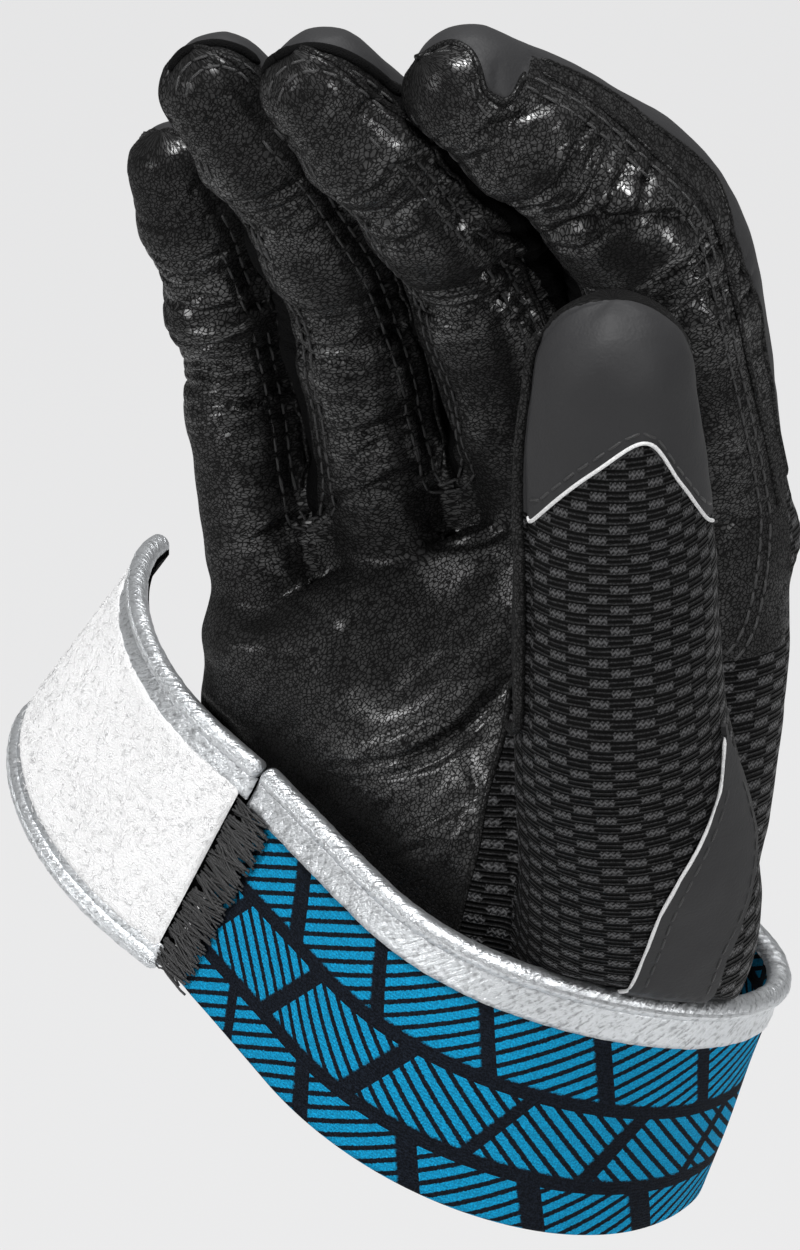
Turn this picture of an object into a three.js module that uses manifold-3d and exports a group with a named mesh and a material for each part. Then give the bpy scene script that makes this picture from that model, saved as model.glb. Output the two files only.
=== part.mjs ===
// A batting glove for the right hand, standing as worn: fingers up, palm towards -Y, thumb towards +X.
// Lengths are in millimetres, angles in degrees, +Z is up.
// The origin is the middle of the wrist opening, at the cuff's lower edge.
// The glove is built as its cut panels: leather palm and finger fronts, knitted and smooth back panels,
// side walls between the fingers, a hinged thumb, a bound stretch cuff, and two strap ends that close it.
import * as THREE from "three";
import { mergeVertices } from "three/addons/utils/BufferGeometryUtils.js";
import Module from "manifold-3d";

const wasm = await Module();
wasm.setup();

// Driving sizes of the hand inside
const palmWidth = 98;
const palmDepth = 34;
const knuckleHeight = 104;
const wristWidth = 84;
const wristDepth = 55;

// Materials' thicknesses, the gaps that sewn edges keep, and how near two vertices are one
const leatherThickness = 1.4;
const capThickness = 1.2;
const overlayThickness = 1.0;
const seamGap = 0.3;
const weldDistance = 1e-4;

// Cuff: a wide stretch band, its bindings and its two closing ends
const cuffHeight = 40;
const cuffThickness = 2.2;
const backFlare = 2;
const sideFlare = 6;
const seamFlare = 3;
const tabFlare = 8;
const cuffEase = 1.5;
const backLength = 21;
const cornerRadius = 16;
const cuffTilt = 26;
const hemHeight = 6;
const bindingThickness = 0.9;
const bindingReach = 7.0;
const loopTabLength = 67;
const loopPadThickness = 1.8;
const bridgeLength = 28.5;
const wrapTurn = 16;
const tabKickTurn = 8;
const closureLength = 50;
const closureHeight = 30;
const closureOpenTurn = 18;
const hookPadThickness = 1.2;
const hookInsetWidth = 4;
const hookFromShare = 0.3;
const pullTabLength = 14;
const pullTabInsetWidth = 6;
const hingeGap = 0.45;
const bartackWidth = 6.5;
const bartackThickness = 0.7;

// Where the palm's rim stands below the knuckle centres, and how closely it holds the finger roots
const rimDepth = 7;
const rootClearance = 0.4;

const fullTurn = 360;
const radians = THREE.MathUtils.degToRad;
const up = new THREE.Vector3(0, 0, 1);
const point = (x, y, z) => new THREE.Vector3(x, y, z);

// Digits: roots as shares of the palm's width, depth and knuckle height; bone lengths from root to tip
// centre; how far each bone is flexed to the palm and leanTurns to the thumb; half widths at root, joints
// and tip.
const digitSizes = {
  index: {
    rootShares: [0.43, 0.465, 1.0],
    lengths: [44, 25, 20],
    flexTurns: [22, 43, 51],
    leanTurns: [1.5, -16.5, -26],
    halfWidths: [13, 13, 11.2, 9.2],
  },
  middle: {
    rootShares: [0.163, 0.385, 0.985],
    lengths: [44, 25, 19],
    flexTurns: [28, 45, 42],
    leanTurns: [-3, -3.5, -17.5],
    halfWidths: [11.6, 10.2, 9.8, 8.9],
  },
  ring: {
    rootShares: [-0.083, 0.25, 0.9],
    lengths: [41, 24, 20],
    flexTurns: [21, 31, 36],
    leanTurns: [1, -8, -16],
    halfWidths: [11.2, 9.7, 9.4, 8.6],
  },
  pinky: {
    rootShares: [-0.294, 0.065, 0.806],
    lengths: [35, 18, 16],
    flexTurns: [3, 21, 28],
    leanTurns: [-6, -2, -4],
    halfWidths: [9.8, 9.0, 8.5, 8.0],
  },
};
const fingerDepthShares = [1.04, 1.1, 1.08, 1.04, 1.04];
const fingerNames = ["pinky", "ring", "middle", "index"];
const knuckleTurn = 11;

const thumbSizes = {
  heelShares: [0.24, 0.04, 0.42],
  rootShares: [0.43, -0.115, 0.348],
  lengths: [48.3, 35.6, 21.4],
  flexTurns: [22.8, 14.5, 13.3],
  leanTurns: [7.3, 5.4, 6.2],
  halfWidths: [13, 19, 16.2, 14.6, 12],
};
const thumbDepthShares = [0.8, 0.72, 0.9, 0.95, 0.95, 0.95];
const thumbTurn = 210;
const thumbHingeAt = 2;

// Smooth interpolation of four or more values at whole steps of t
function smoothValue(values, t) {
  const last = values.length - 1;
  const i = Math.min(Math.max(Math.floor(t), 0), last - 1);
  const f = t - i;
  const b = values[i];
  const c = values[i + 1];
  const a = i > 0 ? values[i - 1] : 2 * b - c;
  const d = i + 2 <= last ? values[i + 2] : 2 * c - b;
  return (
    b + 0.5 * f * (c - a + f * (2 * a - 5 * b + 4 * c - d + f * (3 * (b - c) + d - a)))
  );
}

// A digit: its bones' points, its centre line and its skin
function makeDigit(sizes, turn, depthShares, heel = []) {
  const [sx, sy, sz] = sizes.rootShares;
  let end = point(sx * palmWidth, sy * palmDepth, sz * knuckleHeight);
  const joints = [...heel, end];
  const tipHalf = sizes.halfWidths[sizes.halfWidths.length - 1];
  sizes.lengths.forEach((length, i) => {
    const flex = radians(sizes.flexTurns[i]);
    const lean = radians(sizes.leanTurns[i]);
    const way = point(
      Math.sin(lean),
      -Math.cos(lean) * Math.sin(flex),
      Math.cos(lean) * Math.cos(flex),
    );
    end = end.clone().addScaledVector(way, length);
    joints.push(end);
    if (i === 2) joints.push(end.clone().addScaledVector(way, tipHalf));
  });
  const lateral = point(Math.cos(radians(turn)), Math.sin(radians(turn)), 0);
  return { joints, lateral, halfWidths: [...sizes.halfWidths, tipHalf], depthShares };
}

// The frame of a digit at t, where whole values of t are its joints, up to its end past the tip's centre
function digitFrame(digit, t) {
  const at = (k) => smoothValue(digit.joints.map((p) => p.getComponent(k)), t);
  const slope = (k) => {
    const step = 0.01;
    const values = digit.joints.map((p) => p.getComponent(k));
    return smoothValue(values, t + step) - smoothValue(values, t - step);
  };
  const along = point(slope(0), slope(1), slope(2)).normalize();
  const side = digit.lateral
    .clone()
    .addScaledVector(along, -digit.lateral.dot(along))
    .normalize();
  return {
    centre: point(at(0), at(1), at(2)),
    along,
    side,
    back: along.clone().cross(side),
    half: smoothValue(digit.halfWidths, t),
    depth: smoothValue(digit.depthShares, t),
  };
}

// Skin of a digit: angle 0 is its thumb side, 90 its back; below startT it rounds in like a ball
const tipRoundShare = 0.97;
function digitSkin(digit, startT, grow) {
  return (angle, t) => {
    const f = digitFrame(digit, Math.max(t, startT));
    let half = f.half + grow;
    const centre = f.centre.clone();
    if (t < startT) {
      const drop = startT - t;
      centre.addScaledVector(f.along, -drop * half * f.depth);
      half *= Math.sqrt(1 - drop * drop);
    }
    const pastTip = t - (digit.joints.length - 2);
    if (pastTip > 0) half *= Math.sqrt(1 - (pastTip * tipRoundShare) ** 2);
    const a = radians(angle);
    return centre
      .addScaledVector(f.side, half * Math.cos(a))
      .addScaledVector(f.back, half * f.depth * Math.sin(a));
  };
}

// Numbers from a to b in n equal steps
function steps(a, b, n) {
  return Array.from({ length: n + 1 }, (_, i) => a + ((b - a) * i) / n);
}

// A BufferGeometry from vertices and triangles
function bufferOf(vertices, triangles) {
  const g = new THREE.BufferGeometry();
  g.setAttribute(
    "position",
    new THREE.Float32BufferAttribute(vertices.flatMap((p) => [p.x, p.y, p.z]), 3),
  );
  g.setIndex(triangles.flat());
  g.computeVertexNormals();
  return g;
}

// A sewn panel: the skin between the listed u and v values, given a thickness inwards.
// The skin's u direction crossed with its v direction points out of the glove.
function panel(skin, us, vs, thickness, lift = 0) {
  const outer = [];
  const inner = [];
  const tiny = 1e-3;
  for (const v of vs) {
    for (const u of us) {
      const p = skin(u, v);
      const du = skin(u + tiny, v).sub(skin(u - tiny, v));
      const dv = skin(u, v + tiny).sub(skin(u, v - tiny));
      const out = du.normalize().cross(dv.normalize()).normalize();
      outer.push(p.clone().addScaledVector(out, lift));
      inner.push(p.clone().addScaledVector(out, lift - thickness));
    }
  }
  return closedSheet(outer, inner, us.length, vs.length);
}

// Two matching grids of points joined round their edges into one closed solid
function closedSheet(outer, inner, columns, rows) {
  const n = outer.length;
  const triangles = [];
  const quad = (a, b, c, d) => triangles.push([a, b, c], [a, c, d]);
  const id = (i, j) => j * columns + i;
  for (let j = 0; j + 1 < rows; j++) {
    for (let i = 0; i + 1 < columns; i++) {
      quad(id(i, j), id(i + 1, j), id(i + 1, j + 1), id(i, j + 1));
      quad(n + id(i, j), n + id(i, j + 1), n + id(i + 1, j + 1), n + id(i + 1, j));
    }
  }
  for (let i = 0; i + 1 < columns; i++) {
    quad(id(i, 0), n + id(i, 0), n + id(i + 1, 0), id(i + 1, 0));
    const top = rows - 1;
    quad(n + id(i + 1, top), n + id(i, top), id(i, top), id(i + 1, top));
  }
  for (let j = 0; j + 1 < rows; j++) {
    quad(id(0, j + 1), n + id(0, j + 1), n + id(0, j), id(0, j));
    const end = columns - 1;
    quad(n + id(end, j), n + id(end, j + 1), id(end, j + 1), id(end, j));
  }
  return bufferOf([...outer, ...inner], triangles);
}

// A closed solid from whole rings of points, capped at both ends
function ringSolid(skin, us, vs) {
  const n = us.length;
  const vertices = vs.flatMap((v) => us.map((u) => skin(u, v)));
  const triangles = [];
  for (let j = 0; j + 1 < vs.length; j++) {
    for (let i = 0; i < n; i++) {
      const k = (i + 1) % n;
      triangles.push([j * n + i, j * n + k, (j + 1) * n + k]);
      triangles.push([j * n + i, (j + 1) * n + k, (j + 1) * n + i]);
    }
  }
  const middle = (j) =>
    vertices
      .slice(j * n, j * n + n)
      .reduce((sum, p) => sum.add(p), point(0, 0, 0))
      .divideScalar(n);
  const top = vs.length - 1;
  vertices.push(middle(0), middle(top));
  for (let i = 0; i < n; i++) {
    const k = (i + 1) % n;
    triangles.push([vertices.length - 2, k, i]);
    triangles.push([vertices.length - 1, top * n + i, top * n + k]);
  }
  return bufferOf(vertices, triangles);
}

// Between a three.js geometry and a solid that can be cut
function solidOf(geometry) {
  const bare = geometry.clone();
  bare.deleteAttribute("normal");
  bare.deleteAttribute("uv");
  const merged = mergeVertices(bare, weldDistance);
  return new wasm.Manifold(
    new wasm.Mesh({
      numProp: 3,
      vertProperties: merged.attributes.position.array,
      triVerts: new Uint32Array(merged.index.array),
    }),
  );
}
function geometryOf(solid) {
  const mesh = solid.getMesh();
  const g = new THREE.BufferGeometry();
  g.setAttribute("position", new THREE.Float32BufferAttribute(mesh.vertProperties, 3));
  g.setIndex(new THREE.BufferAttribute(mesh.triVerts, 1));
  g.computeVertexNormals();
  return g;
}
const cut = (geometry, ...tools) =>
  geometryOf(tools.reduce((solid, tool) => solid.subtract(tool), solidOf(geometry)));

// Digits in place
const digits = {};
for (const name of fingerNames) {
  digits[name] = makeDigit(digitSizes[name], knuckleTurn, fingerDepthShares);
}

// Palm: a skin rolled round four core lines, one below each finger, from the hem to the knuckles.
// Along a section, u runs 0 to 1 round the thumb side, 1 to 2 over the back, 2 to 3 round the little
// finger's side and 3 to 4 over the palm. v runs 0 to 1 from the hem to the knuckles.
const tilt = radians(cuffTilt);
const cuffAxis = point(Math.sin(tilt), 0, Math.cos(tilt));
const cuffAcross = point(Math.cos(tilt), 0, -Math.sin(tilt));
const inCuff = (across, deep, high) =>
  point(0, deep, 0).addScaledVector(cuffAcross, across).addScaledVector(cuffAxis, high);

const [heelAcross, heelDeep, heelHigh] = thumbSizes.heelShares;
const heel = inCuff(heelAcross * wristWidth, heelDeep * wristDepth, heelHigh * cuffHeight);
const thumb = makeDigit(thumbSizes, thumbTurn, thumbDepthShares, [heel]);

const wristCentreShares = [0.036, 0.11];
const wristX = wristCentreShares[0] * wristWidth;
const wristY = wristCentreShares[1] * wristDepth;
const rimHalf = (half) =>
  Math.sqrt((half + rootClearance) ** 2 - rimDepth ** 2) + leatherThickness;

// Each station's cores from the little finger to the index, as shares: across, deep and half depth.
// At the hem and the cuff's top they are shares of the wrist's sizes. In mid palm they are shares of the
// palm's, with a fourth for the height.
const hemShares = [
  [-0.18, 0.09, 0.36],
  [-0.06, 0.11, 0.42],
  [0.11, 0.12, 0.42],
  [0.31, 0.22, 0.23],
];
const cuffTopShares = [
  [-0.57, 0.12, 0.262],
  [-0.15, 0.11, 0.35],
  [0.095, 0.14, 0.395],
  [0.262, 0.24, 0.23],
];
const midPalmShares = [
  [-0.24, 0.06, 0.47, 0.71],
  [-0.055, 0.17, 0.47, 0.69],
  [0.17, 0.3, 0.47, 0.68],
  [0.4, 0.44, 0.49, 0.66],
];
const cuffTopShare = 1 / 3;
const midPalmShare = 2 / 3;
const wristStation = (shares, high) =>
  shares.map(([across, deep, half]) => ({
    core: inCuff(across * wristWidth, deep * wristDepth, high),
    half: half * wristDepth,
  }));
const stations = [
  wristStation(hemShares, hemHeight),
  wristStation(cuffTopShares, cuffHeight),
  midPalmShares.map(([across, deep, half, high]) => ({
    core: point(across * palmWidth, deep * palmDepth, high * knuckleHeight),
    half: half * palmDepth,
  })),
  fingerNames.map((name) => ({
    core: digits[name].joints[0].clone().addScaledVector(up, -rimDepth),
    half: rimHalf(digitSizes[name].halfWidths[0] * fingerDepthShares[0]),
  })),
];

// The core and half depth at a share of the way from the little finger's line to the index's
function coreAt(share, v) {
  const read = (value) =>
    smoothValue(
      fingerNames.map((_, i) => smoothValue(stations.map((row) => value(row[i])), v * 3)),
      share * 3,
    );
  return {
    core: point(read((s) => s.core.x), read((s) => s.core.y), read((s) => s.core.z)),
    half: read((s) => s.half),
  };
}

const roundShares = 4;
function palmSkin(grow) {
  return (uRaw, v) => {
    const u = ((uRaw % roundShares) + roundShares) % roundShares;
    let share = 1;
    let angle = -90 + 180 * u;
    if (u >= 1) {
      share = Math.max(2 - u, 0);
      angle = 90;
    }
    if (u >= 2) angle = 90 + 180 * (u - 2);
    if (u >= 3) {
      share = u - 3;
      angle = 270;
    }
    const { core, half } = coreAt(share, v);
    const nearWrist = 1 - THREE.MathUtils.smoothstep(v, cuffTopShare, midPalmShare);
    const along = up.clone().lerp(cuffAxis, nearWrist).normalize();
    const across = coreAt(1, v).core.sub(coreAt(0, v).core);
    const side = across.addScaledVector(along, -across.dot(along)).normalize();
    const back = along.clone().cross(side).normalize();
    const a = radians(angle);
    return core
      .addScaledVector(side, (half + grow) * Math.cos(a))
      .addScaledVector(back, (half + grow) * Math.sin(a));
  };
}
const palmOuter = palmSkin(0);

// Lower thumb, fixed to the palm, and the socket rim that holds the upper thumb's root
const thumbSocketGrow = rootClearance + leatherThickness;
const thumbSkin = digitSkin(thumb, thumbHingeAt, 0);
const thenarSkin = digitSkin(thumb, 0, thumbSocketGrow);
const thenarRimShare = thumbHingeAt - 0.07;
const thumbGap = THREE.MathUtils.radToDeg(seamGap / thumbSizes.halfWidths[2]) / 2;
const thumbSeamTurns = { left: -4, right: 178 };
const thumbBackAngles = steps(thumbSeamTurns.left + thumbGap, thumbSeamTurns.right - thumbGap, 7);
const thumbFrontAngles = steps(thumbSeamTurns.right + thumbGap, fullTurn + thumbSeamTurns.left - thumbGap, 6);
const thenarRows = steps(0, thenarRimShare, 9);
const cavityShares = { from: -0.1, to: 1.02 };
const palmCavity = solidOf(
  ringSolid(
    palmSkin(-leatherThickness - seamGap),
    steps(0, roundShares, 16).slice(0, -1),
    steps(cavityShares.from, cavityShares.to, 12),
  ),
);
const toolOverrunShare = 0.02;
const rimTop = cuffHeight + seamGap + bindingThickness;
function belowRim(lift) {
  const deep = 2 * knuckleHeight;
  const block = new THREE.BoxGeometry(2 * palmWidth, 2 * palmWidth, deep);
  block.translate(0, 0, rimTop + lift - deep / 2);
  block.rotateY(tilt);
  return solidOf(block);
}
const thenarTool = solidOf(
  ringSolid(
    digitSkin(thumb, 0, thumbSocketGrow + seamGap),
    [...thumbBackAngles, ...thumbFrontAngles],
    [-toolOverrunShare, ...thenarRows, thumbHingeAt + toolOverrunShare],
  ),
).subtract(belowRim(seamGap));

// Looks of each kind of cloth or leather; every piece gets a material of its own
const looks = {
  leather: { color: 0x141414, roughness: 0.45, metalness: 0 },
  smooth: { color: 0x2b2b2c, roughness: 0.7, metalness: 0 },
  knit: { color: 0x111112, roughness: 0.95, metalness: 0 },
  stretch: { color: 0x0c0c0d, roughness: 0.9, metalness: 0 },
  print: { color: 0x0f7fb4, roughness: 0.8, metalness: 0 },
  silver: { color: 0xb9bcbf, roughness: 0.35, metalness: 0.7 },
  white: { color: 0xececec, roughness: 0.95, metalness: 0 },
  thread: { color: 0x1a1a1a, roughness: 0.8, metalness: 0 },
  rubber: { color: 0x18191a, roughness: 0.6, metalness: 0 },
};

const glove = new THREE.Group();
function add(name, geometry, look, parent = glove) {
  const mesh = new THREE.Mesh(geometry, new THREE.MeshStandardMaterial(look));
  mesh.name = name;
  parent.add(mesh);
}

// Finger panels: front leather, side walls where a finger has a neighbour, back panel and tip cap
const wallHalfTurn = 24;
const outerSeamTurns = { index: 42, pinky: 148 };
const rootRowShares = [-0.62, -0.3, 0, 0.5, 1, 1.5, 2];
const tipRowShares = [3, 3.35, 3.65, 3.85, 4];
const capFromShare = 2.55;
const capGapShare = 0.02;
const fingerRowShares = [...rootRowShares, 2.5, ...tipRowShares];
const backRowShares = [...rootRowShares, capFromShare - capGapShare];
const capRowShares = [capFromShare, ...tipRowShares];

for (const name of fingerNames) {
  const digit = digits[name];
  const skin = digitSkin(digit, 0, 0);
  const half = digitSizes[name].halfWidths[1];
  const gapAngle = THREE.MathUtils.radToDeg(seamGap / half) / 2;
  const seamUlnar = name === "pinky" ? outerSeamTurns.pinky : 180 - wallHalfTurn;
  const seamRadial = name === "index" ? outerSeamTurns.index : wallHalfTurn;
  const frontFrom = name === "pinky" ? outerSeamTurns.pinky : 180 + wallHalfTurn;
  const frontTo = fullTurn + (name === "index" ? outerSeamTurns.index : -wallHalfTurn);
  add(
    `${name}_front`,
    panel(
      skin,
      steps(frontFrom + gapAngle, frontTo - gapAngle, 6),
      fingerRowShares,
      leatherThickness,
    ),
    looks.leather,
  );
  const backAngles = steps(seamRadial + gapAngle, seamUlnar - gapAngle, 5);
  add(`${name}_back`, panel(skin, backAngles, backRowShares, capThickness), looks.smooth);
  add(`${name}_tip_cap`, panel(skin, backAngles, capRowShares, capThickness), looks.smooth);
  if (name !== "pinky") {
    const angles = steps(180 - wallHalfTurn + gapAngle, 180 + wallHalfTurn - gapAngle, 2);
    add(`${name}_wall_ulnar`, panel(skin, angles, fingerRowShares, capThickness), looks.stretch);
  }
  if (name !== "index") {
    const angles = steps(-wallHalfTurn + gapAngle, wallHalfTurn - gapAngle, 2);
    add(`${name}_wall_radial`, panel(skin, angles, fingerRowShares, capThickness), looks.stretch);
  }
}

// Palm panels, with the thumb's opening cut through them. They share one set of rows, so that the
// facets of neighbours match along their seams.
const palmSeamShares = { ulnar: 2.4, palmar: 3.93, radial: 4.86, side: 0.62, wrist: 0.35 };
const ventShares = { from: 1.4, to: 1.8 };
const palmRowCount = 12;
const uGap = seamGap / palmDepth / 2;
const vGap = seamGap / knuckleHeight / 2;
function palmPanel(fromU, toU, fromV, toV, columns) {
  const low = fromV > 0 ? fromV + vGap : fromV;
  const high = toV < 1 ? toV - vGap : toV;
  const rows = steps(0, 1, palmRowCount).filter((v) => v > low + vGap && v < high - vGap);
  const us = steps(fromU + uGap, toU - uGap, columns);
  return panel(palmOuter, us, [low, ...rows, high], leatherThickness);
}
const { ulnar, palmar, radial, side: sideSplit, wrist: wristSplit } = palmSeamShares;
const radialBack = radial - roundShares;
add("palm_leather", cut(palmPanel(ulnar, palmar, 0, 1, 12), thenarTool), looks.leather);
add(
  "index_side_leather",
  cut(palmPanel(palmar, radial, sideSplit, 1, 7), thenarTool),
  looks.leather,
);
add("wrist_side_knit", cut(palmPanel(palmar, radial, 0, sideSplit, 7), thenarTool), looks.knit);
add("hand_back_knit", palmPanel(radialBack, ulnar, wristSplit, 1, 10), looks.knit);
add("wrist_back_radial", palmPanel(radialBack, ventShares.from, 0, wristSplit, 4), looks.knit);
add("wrist_vent_gusset", palmPanel(ventShares.from, ventShares.to, 0, wristSplit, 2), looks.stretch);
add("wrist_back_ulnar", palmPanel(ventShares.to, ulnar, 0, wristSplit, 4), looks.knit);

// Raised overlays on the back: a smooth knuckle yoke and a plain silver badge on it
const overlayLift = seamGap + overlayThickness;
const yokeShares = { from: 1.0, to: 2.2, low: 0.8, high: 0.97 };
const badgeShares = { from: 1.06, to: 1.34, low: 0.84, high: 0.93 };
const overlay = (area, columns, rows, lift) =>
  panel(
    palmOuter,
    steps(area.from, area.to, columns),
    steps(area.low, area.high, rows),
    overlayThickness,
    lift,
  );
add("knuckle_yoke", overlay(yokeShares, 8, 3, overlayLift), looks.smooth);
add("knuckle_badge", overlay(badgeShares, 4, 2, 2 * overlayLift), looks.silver);

// Thumb: fixed lower panels, then the panels that turn with it
add(
  "thenar_knit",
  cut(
    panel(thenarSkin, thumbBackAngles, thenarRows, leatherThickness),
    palmCavity,
    belowRim(2 * seamGap),
  ),
  looks.knit,
);
add(
  "thumb_web_leather",
  cut(
    panel(thenarSkin, thumbFrontAngles, thenarRows, leatherThickness),
    palmCavity,
    belowRim(2 * seamGap),
  ),
  looks.leather,
);

// Raised overlay that curves round the thumb's root
const flashAngles = steps(104, 168, 5);
const flashShares = { from: 0.9, to: 1.72 };
const flashRows = steps(flashShares.from, flashShares.to, 5);
add(
  "thumb_flash",
  cut(
    panel(thenarSkin, flashAngles, flashRows, overlayThickness, overlayLift),
    belowRim(2 * seamGap),
  ),
  looks.smooth,
);

const thumbRowShares = [-0.55, -0.25, 0, 0.4, 0.8].map((share) => thumbHingeAt + share);
const thumbCapShare = 3.1;
const thumbTipShares = [4, 4.35, 4.65, 4.85, 5];
add(
  "thumb_knit",
  panel(
    thumbSkin,
    thumbBackAngles,
    [...thumbRowShares, thumbCapShare - capGapShare / 2],
    capThickness,
  ),
  looks.knit,
);
add(
  "thumb_tip_cap",
  panel(thumbSkin, thumbBackAngles, [thumbCapShare, 3.5, ...thumbTipShares], capThickness),
  looks.smooth,
);
add(
  "thumb_front",
  panel(
    thumbSkin,
    thumbFrontAngles,
    [...thumbRowShares, 3.2, 3.6, ...thumbTipShares],
    leatherThickness,
  ),
  looks.leather,
);

// Cuff plan: the line that the band's outer face follows at its upper edge, seen from the fingers. From
// its back end it goes along the back, round a tight corner behind the thumb and over the palm in one wide
// arc, then leaves the wrist straight. Past the seam the loop tab stands off and curls back. Each run has
// its length and its clockwise turn.
const cuffDepth = wristDepth + 2 * cuffEase;
const faceRadius = cuffDepth - cornerRadius;
const arcRun = (radius, turn) => ({ run: radius * radians(turn), turn });
const tabRunShares = [0.13, 0.29, 0.29, 0.17, 0.12];
const tabTurns = [0, 24, 22, 14, 20];
const bandRuns = [
  { run: backLength, turn: 0 },
  arcRun(cornerRadius, 90),
  arcRun(faceRadius, 90 + wrapTurn),
  { run: bridgeLength, turn: 0 },
];
const planRuns = [
  ...bandRuns,
  { run: 0, turn: -tabKickTurn },
  ...tabRunShares.map((share, i) => ({ run: share * loopTabLength, turn: tabTurns[i] })),
];
const bandLength = bandRuns.reduce((sum, { run }) => sum + run, 0);

// A point of the plan and the outward way there, at a distance from the band's back end
function plan(distance) {
  const end = planRuns.length - 1;
  let x = wristX;
  let y = wristY + cuffDepth / 2;
  let heading = 0;
  let left = distance;
  for (const [i, { run, turn }] of planRuns.entries()) {
    if (i > 0 && left <= 0) break;
    const length = i < end ? Math.min(left, run) : left;
    const swing = radians(run > 0 ? (turn * length) / run : turn);
    const chord = swing ? ((2 * length) / swing) * Math.sin(swing / 2) : length;
    x += chord * Math.cos(heading - swing / 2);
    y += chord * Math.sin(heading - swing / 2);
    heading -= swing;
    left -= length;
  }
  return { x, y, out: [-Math.sin(heading), Math.cos(heading)] };
}

// The cuff's outer face: s along the plan, height above the lower edge; and the sheet it makes
function flareAt(s) {
  if (s < bandLength) {
    return smoothValue([backFlare, sideFlare, seamFlare], (2 * s) / bandLength);
  }
  return seamFlare + ((s - bandLength) / loopTabLength) * (tabFlare - seamFlare);
}
const cuffFace = (s, high, lift) => {
  const p = plan(s);
  const out = flareAt(s) * (1 - high / cuffHeight) + lift;
  return point(p.x + p.out[0] * out, p.y + p.out[1] * out, high);
};
function strap(ss, heights, lift, thickness) {
  const outer = heights.flatMap((h) => ss.map((s) => cuffFace(s, h, lift)));
  const inner = heights.flatMap((h) => ss.map((s) => cuffFace(s, h, lift - thickness)));
  return closedSheet(inner, outer, ss.length, heights.length);
}

// A binding folded over a strap's edge: a channel whose slot holds the strap with a gap all round
function binding(ss, edge, way, slotLift, slotThickness) {
  const outside = slotLift + seamGap + bindingThickness;
  const inside = slotLift - slotThickness - seamGap - bindingThickness;
  const crown = edge + way * (seamGap + bindingThickness);
  const foot = edge - way * bindingReach;
  const bend = bindingThickness;
  const profile = [
    [outside, foot],
    [outside, crown - way * bend],
    [outside - bend, crown],
    [inside + bend, crown],
    [inside, crown - way * bend],
    [inside, foot],
    [inside + bindingThickness, foot],
    [inside + bindingThickness, edge + way * seamGap],
    [outside - bindingThickness, edge + way * seamGap],
    [outside - bindingThickness, foot],
  ];
  const n = profile.length;
  const vertices = ss.flatMap((s) => profile.map(([lift, h]) => cuffFace(s, h, lift)));
  const triangles = [];
  for (let j = 0; j + 1 < ss.length; j++) {
    for (let i = 0; i < n; i++) {
      const k = (i + 1) % n;
      triangles.push([j * n + i, (j + 1) * n + k, j * n + k]);
      triangles.push([j * n + i, (j + 1) * n + i, (j + 1) * n + k]);
    }
  }
  const outline = profile.map(([x, y]) => new THREE.Vector2(x, way * y));
  const last = (ss.length - 1) * n;
  for (const [a, b, c] of THREE.ShapeUtils.triangulateShape(outline, [])) {
    triangles.push([a, b, c], [last + a, last + c, last + b]);
  }
  return bufferOf(vertices, way < 0 ? triangles : triangles.map(([a, b, c]) => [a, c, b]));
}

const cuff = new THREE.Group();
cuff.rotation.y = tilt;
glove.add(cuff);

const bandEnd = bandLength - hingeGap;
const bandSteps = [...steps(0, bandLength - bridgeLength, 22), bandEnd];
add("cuff_band", strap(bandSteps, [0, cuffHeight], 0, cuffThickness), looks.print, cuff);
const bindStart = bindingThickness;
const bandBindSteps = [bindStart, ...bandSteps.slice(1, -1), bandEnd - 3 * hingeGap];
add(
  "cuff_top_binding",
  binding(bandBindSteps, cuffHeight, 1, 0, cuffThickness),
  looks.silver,
  cuff,
);

// Loop tab: the soft base, the white loop pad on its outer face, and bindings on both edges
const tabStart = bandLength + hingeGap;
const tabEnd = bandLength + loopTabLength;
const tabBaseThickness = cuffThickness - loopPadThickness / 2;
const tabInset = bindingThickness + 2 * seamGap;
const tabSteps = steps(tabStart, tabEnd, 14);
const tabLow = tabInset;
const tabHigh = cuffHeight;
add(
  "loop_tab_base",
  strap(tabSteps, [tabLow, tabHigh], 0, tabBaseThickness),
  looks.stretch,
  cuff,
);
add(
  "loop_pad",
  strap(
    steps(tabStart + 2 * seamGap, tabEnd - 2 * seamGap, 14),
    [tabLow + bindingReach + seamGap, tabHigh - bindingReach - seamGap],
    loopPadThickness + seamGap,
    loopPadThickness,
  ),
  looks.white,
  cuff,
);
const tabBindSteps = steps(tabStart + 4 * hingeGap, tabEnd, 14);
add(
  "loop_tab_top_binding",
  binding(tabBindSteps, tabHigh, 1, 0, tabBaseThickness),
  looks.silver,
  cuff,
);
add(
  "loop_tab_low_binding",
  binding(tabBindSteps, tabLow, -1, 0, tabBaseThickness),
  looks.silver,
  cuff,
);

// Bartack: the dense zigzag stitching that closes the band's end beside the tab
add(
  "zigzag_bartack",
  strap(
    steps(bandEnd - bartackWidth, bandEnd - 2 * seamGap, 2),
    [2 * seamGap, cuffHeight - bindingReach - seamGap],
    bartackThickness + seamGap,
    bartackThickness,
  ),
  looks.thread,
  cuff,
);

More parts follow.
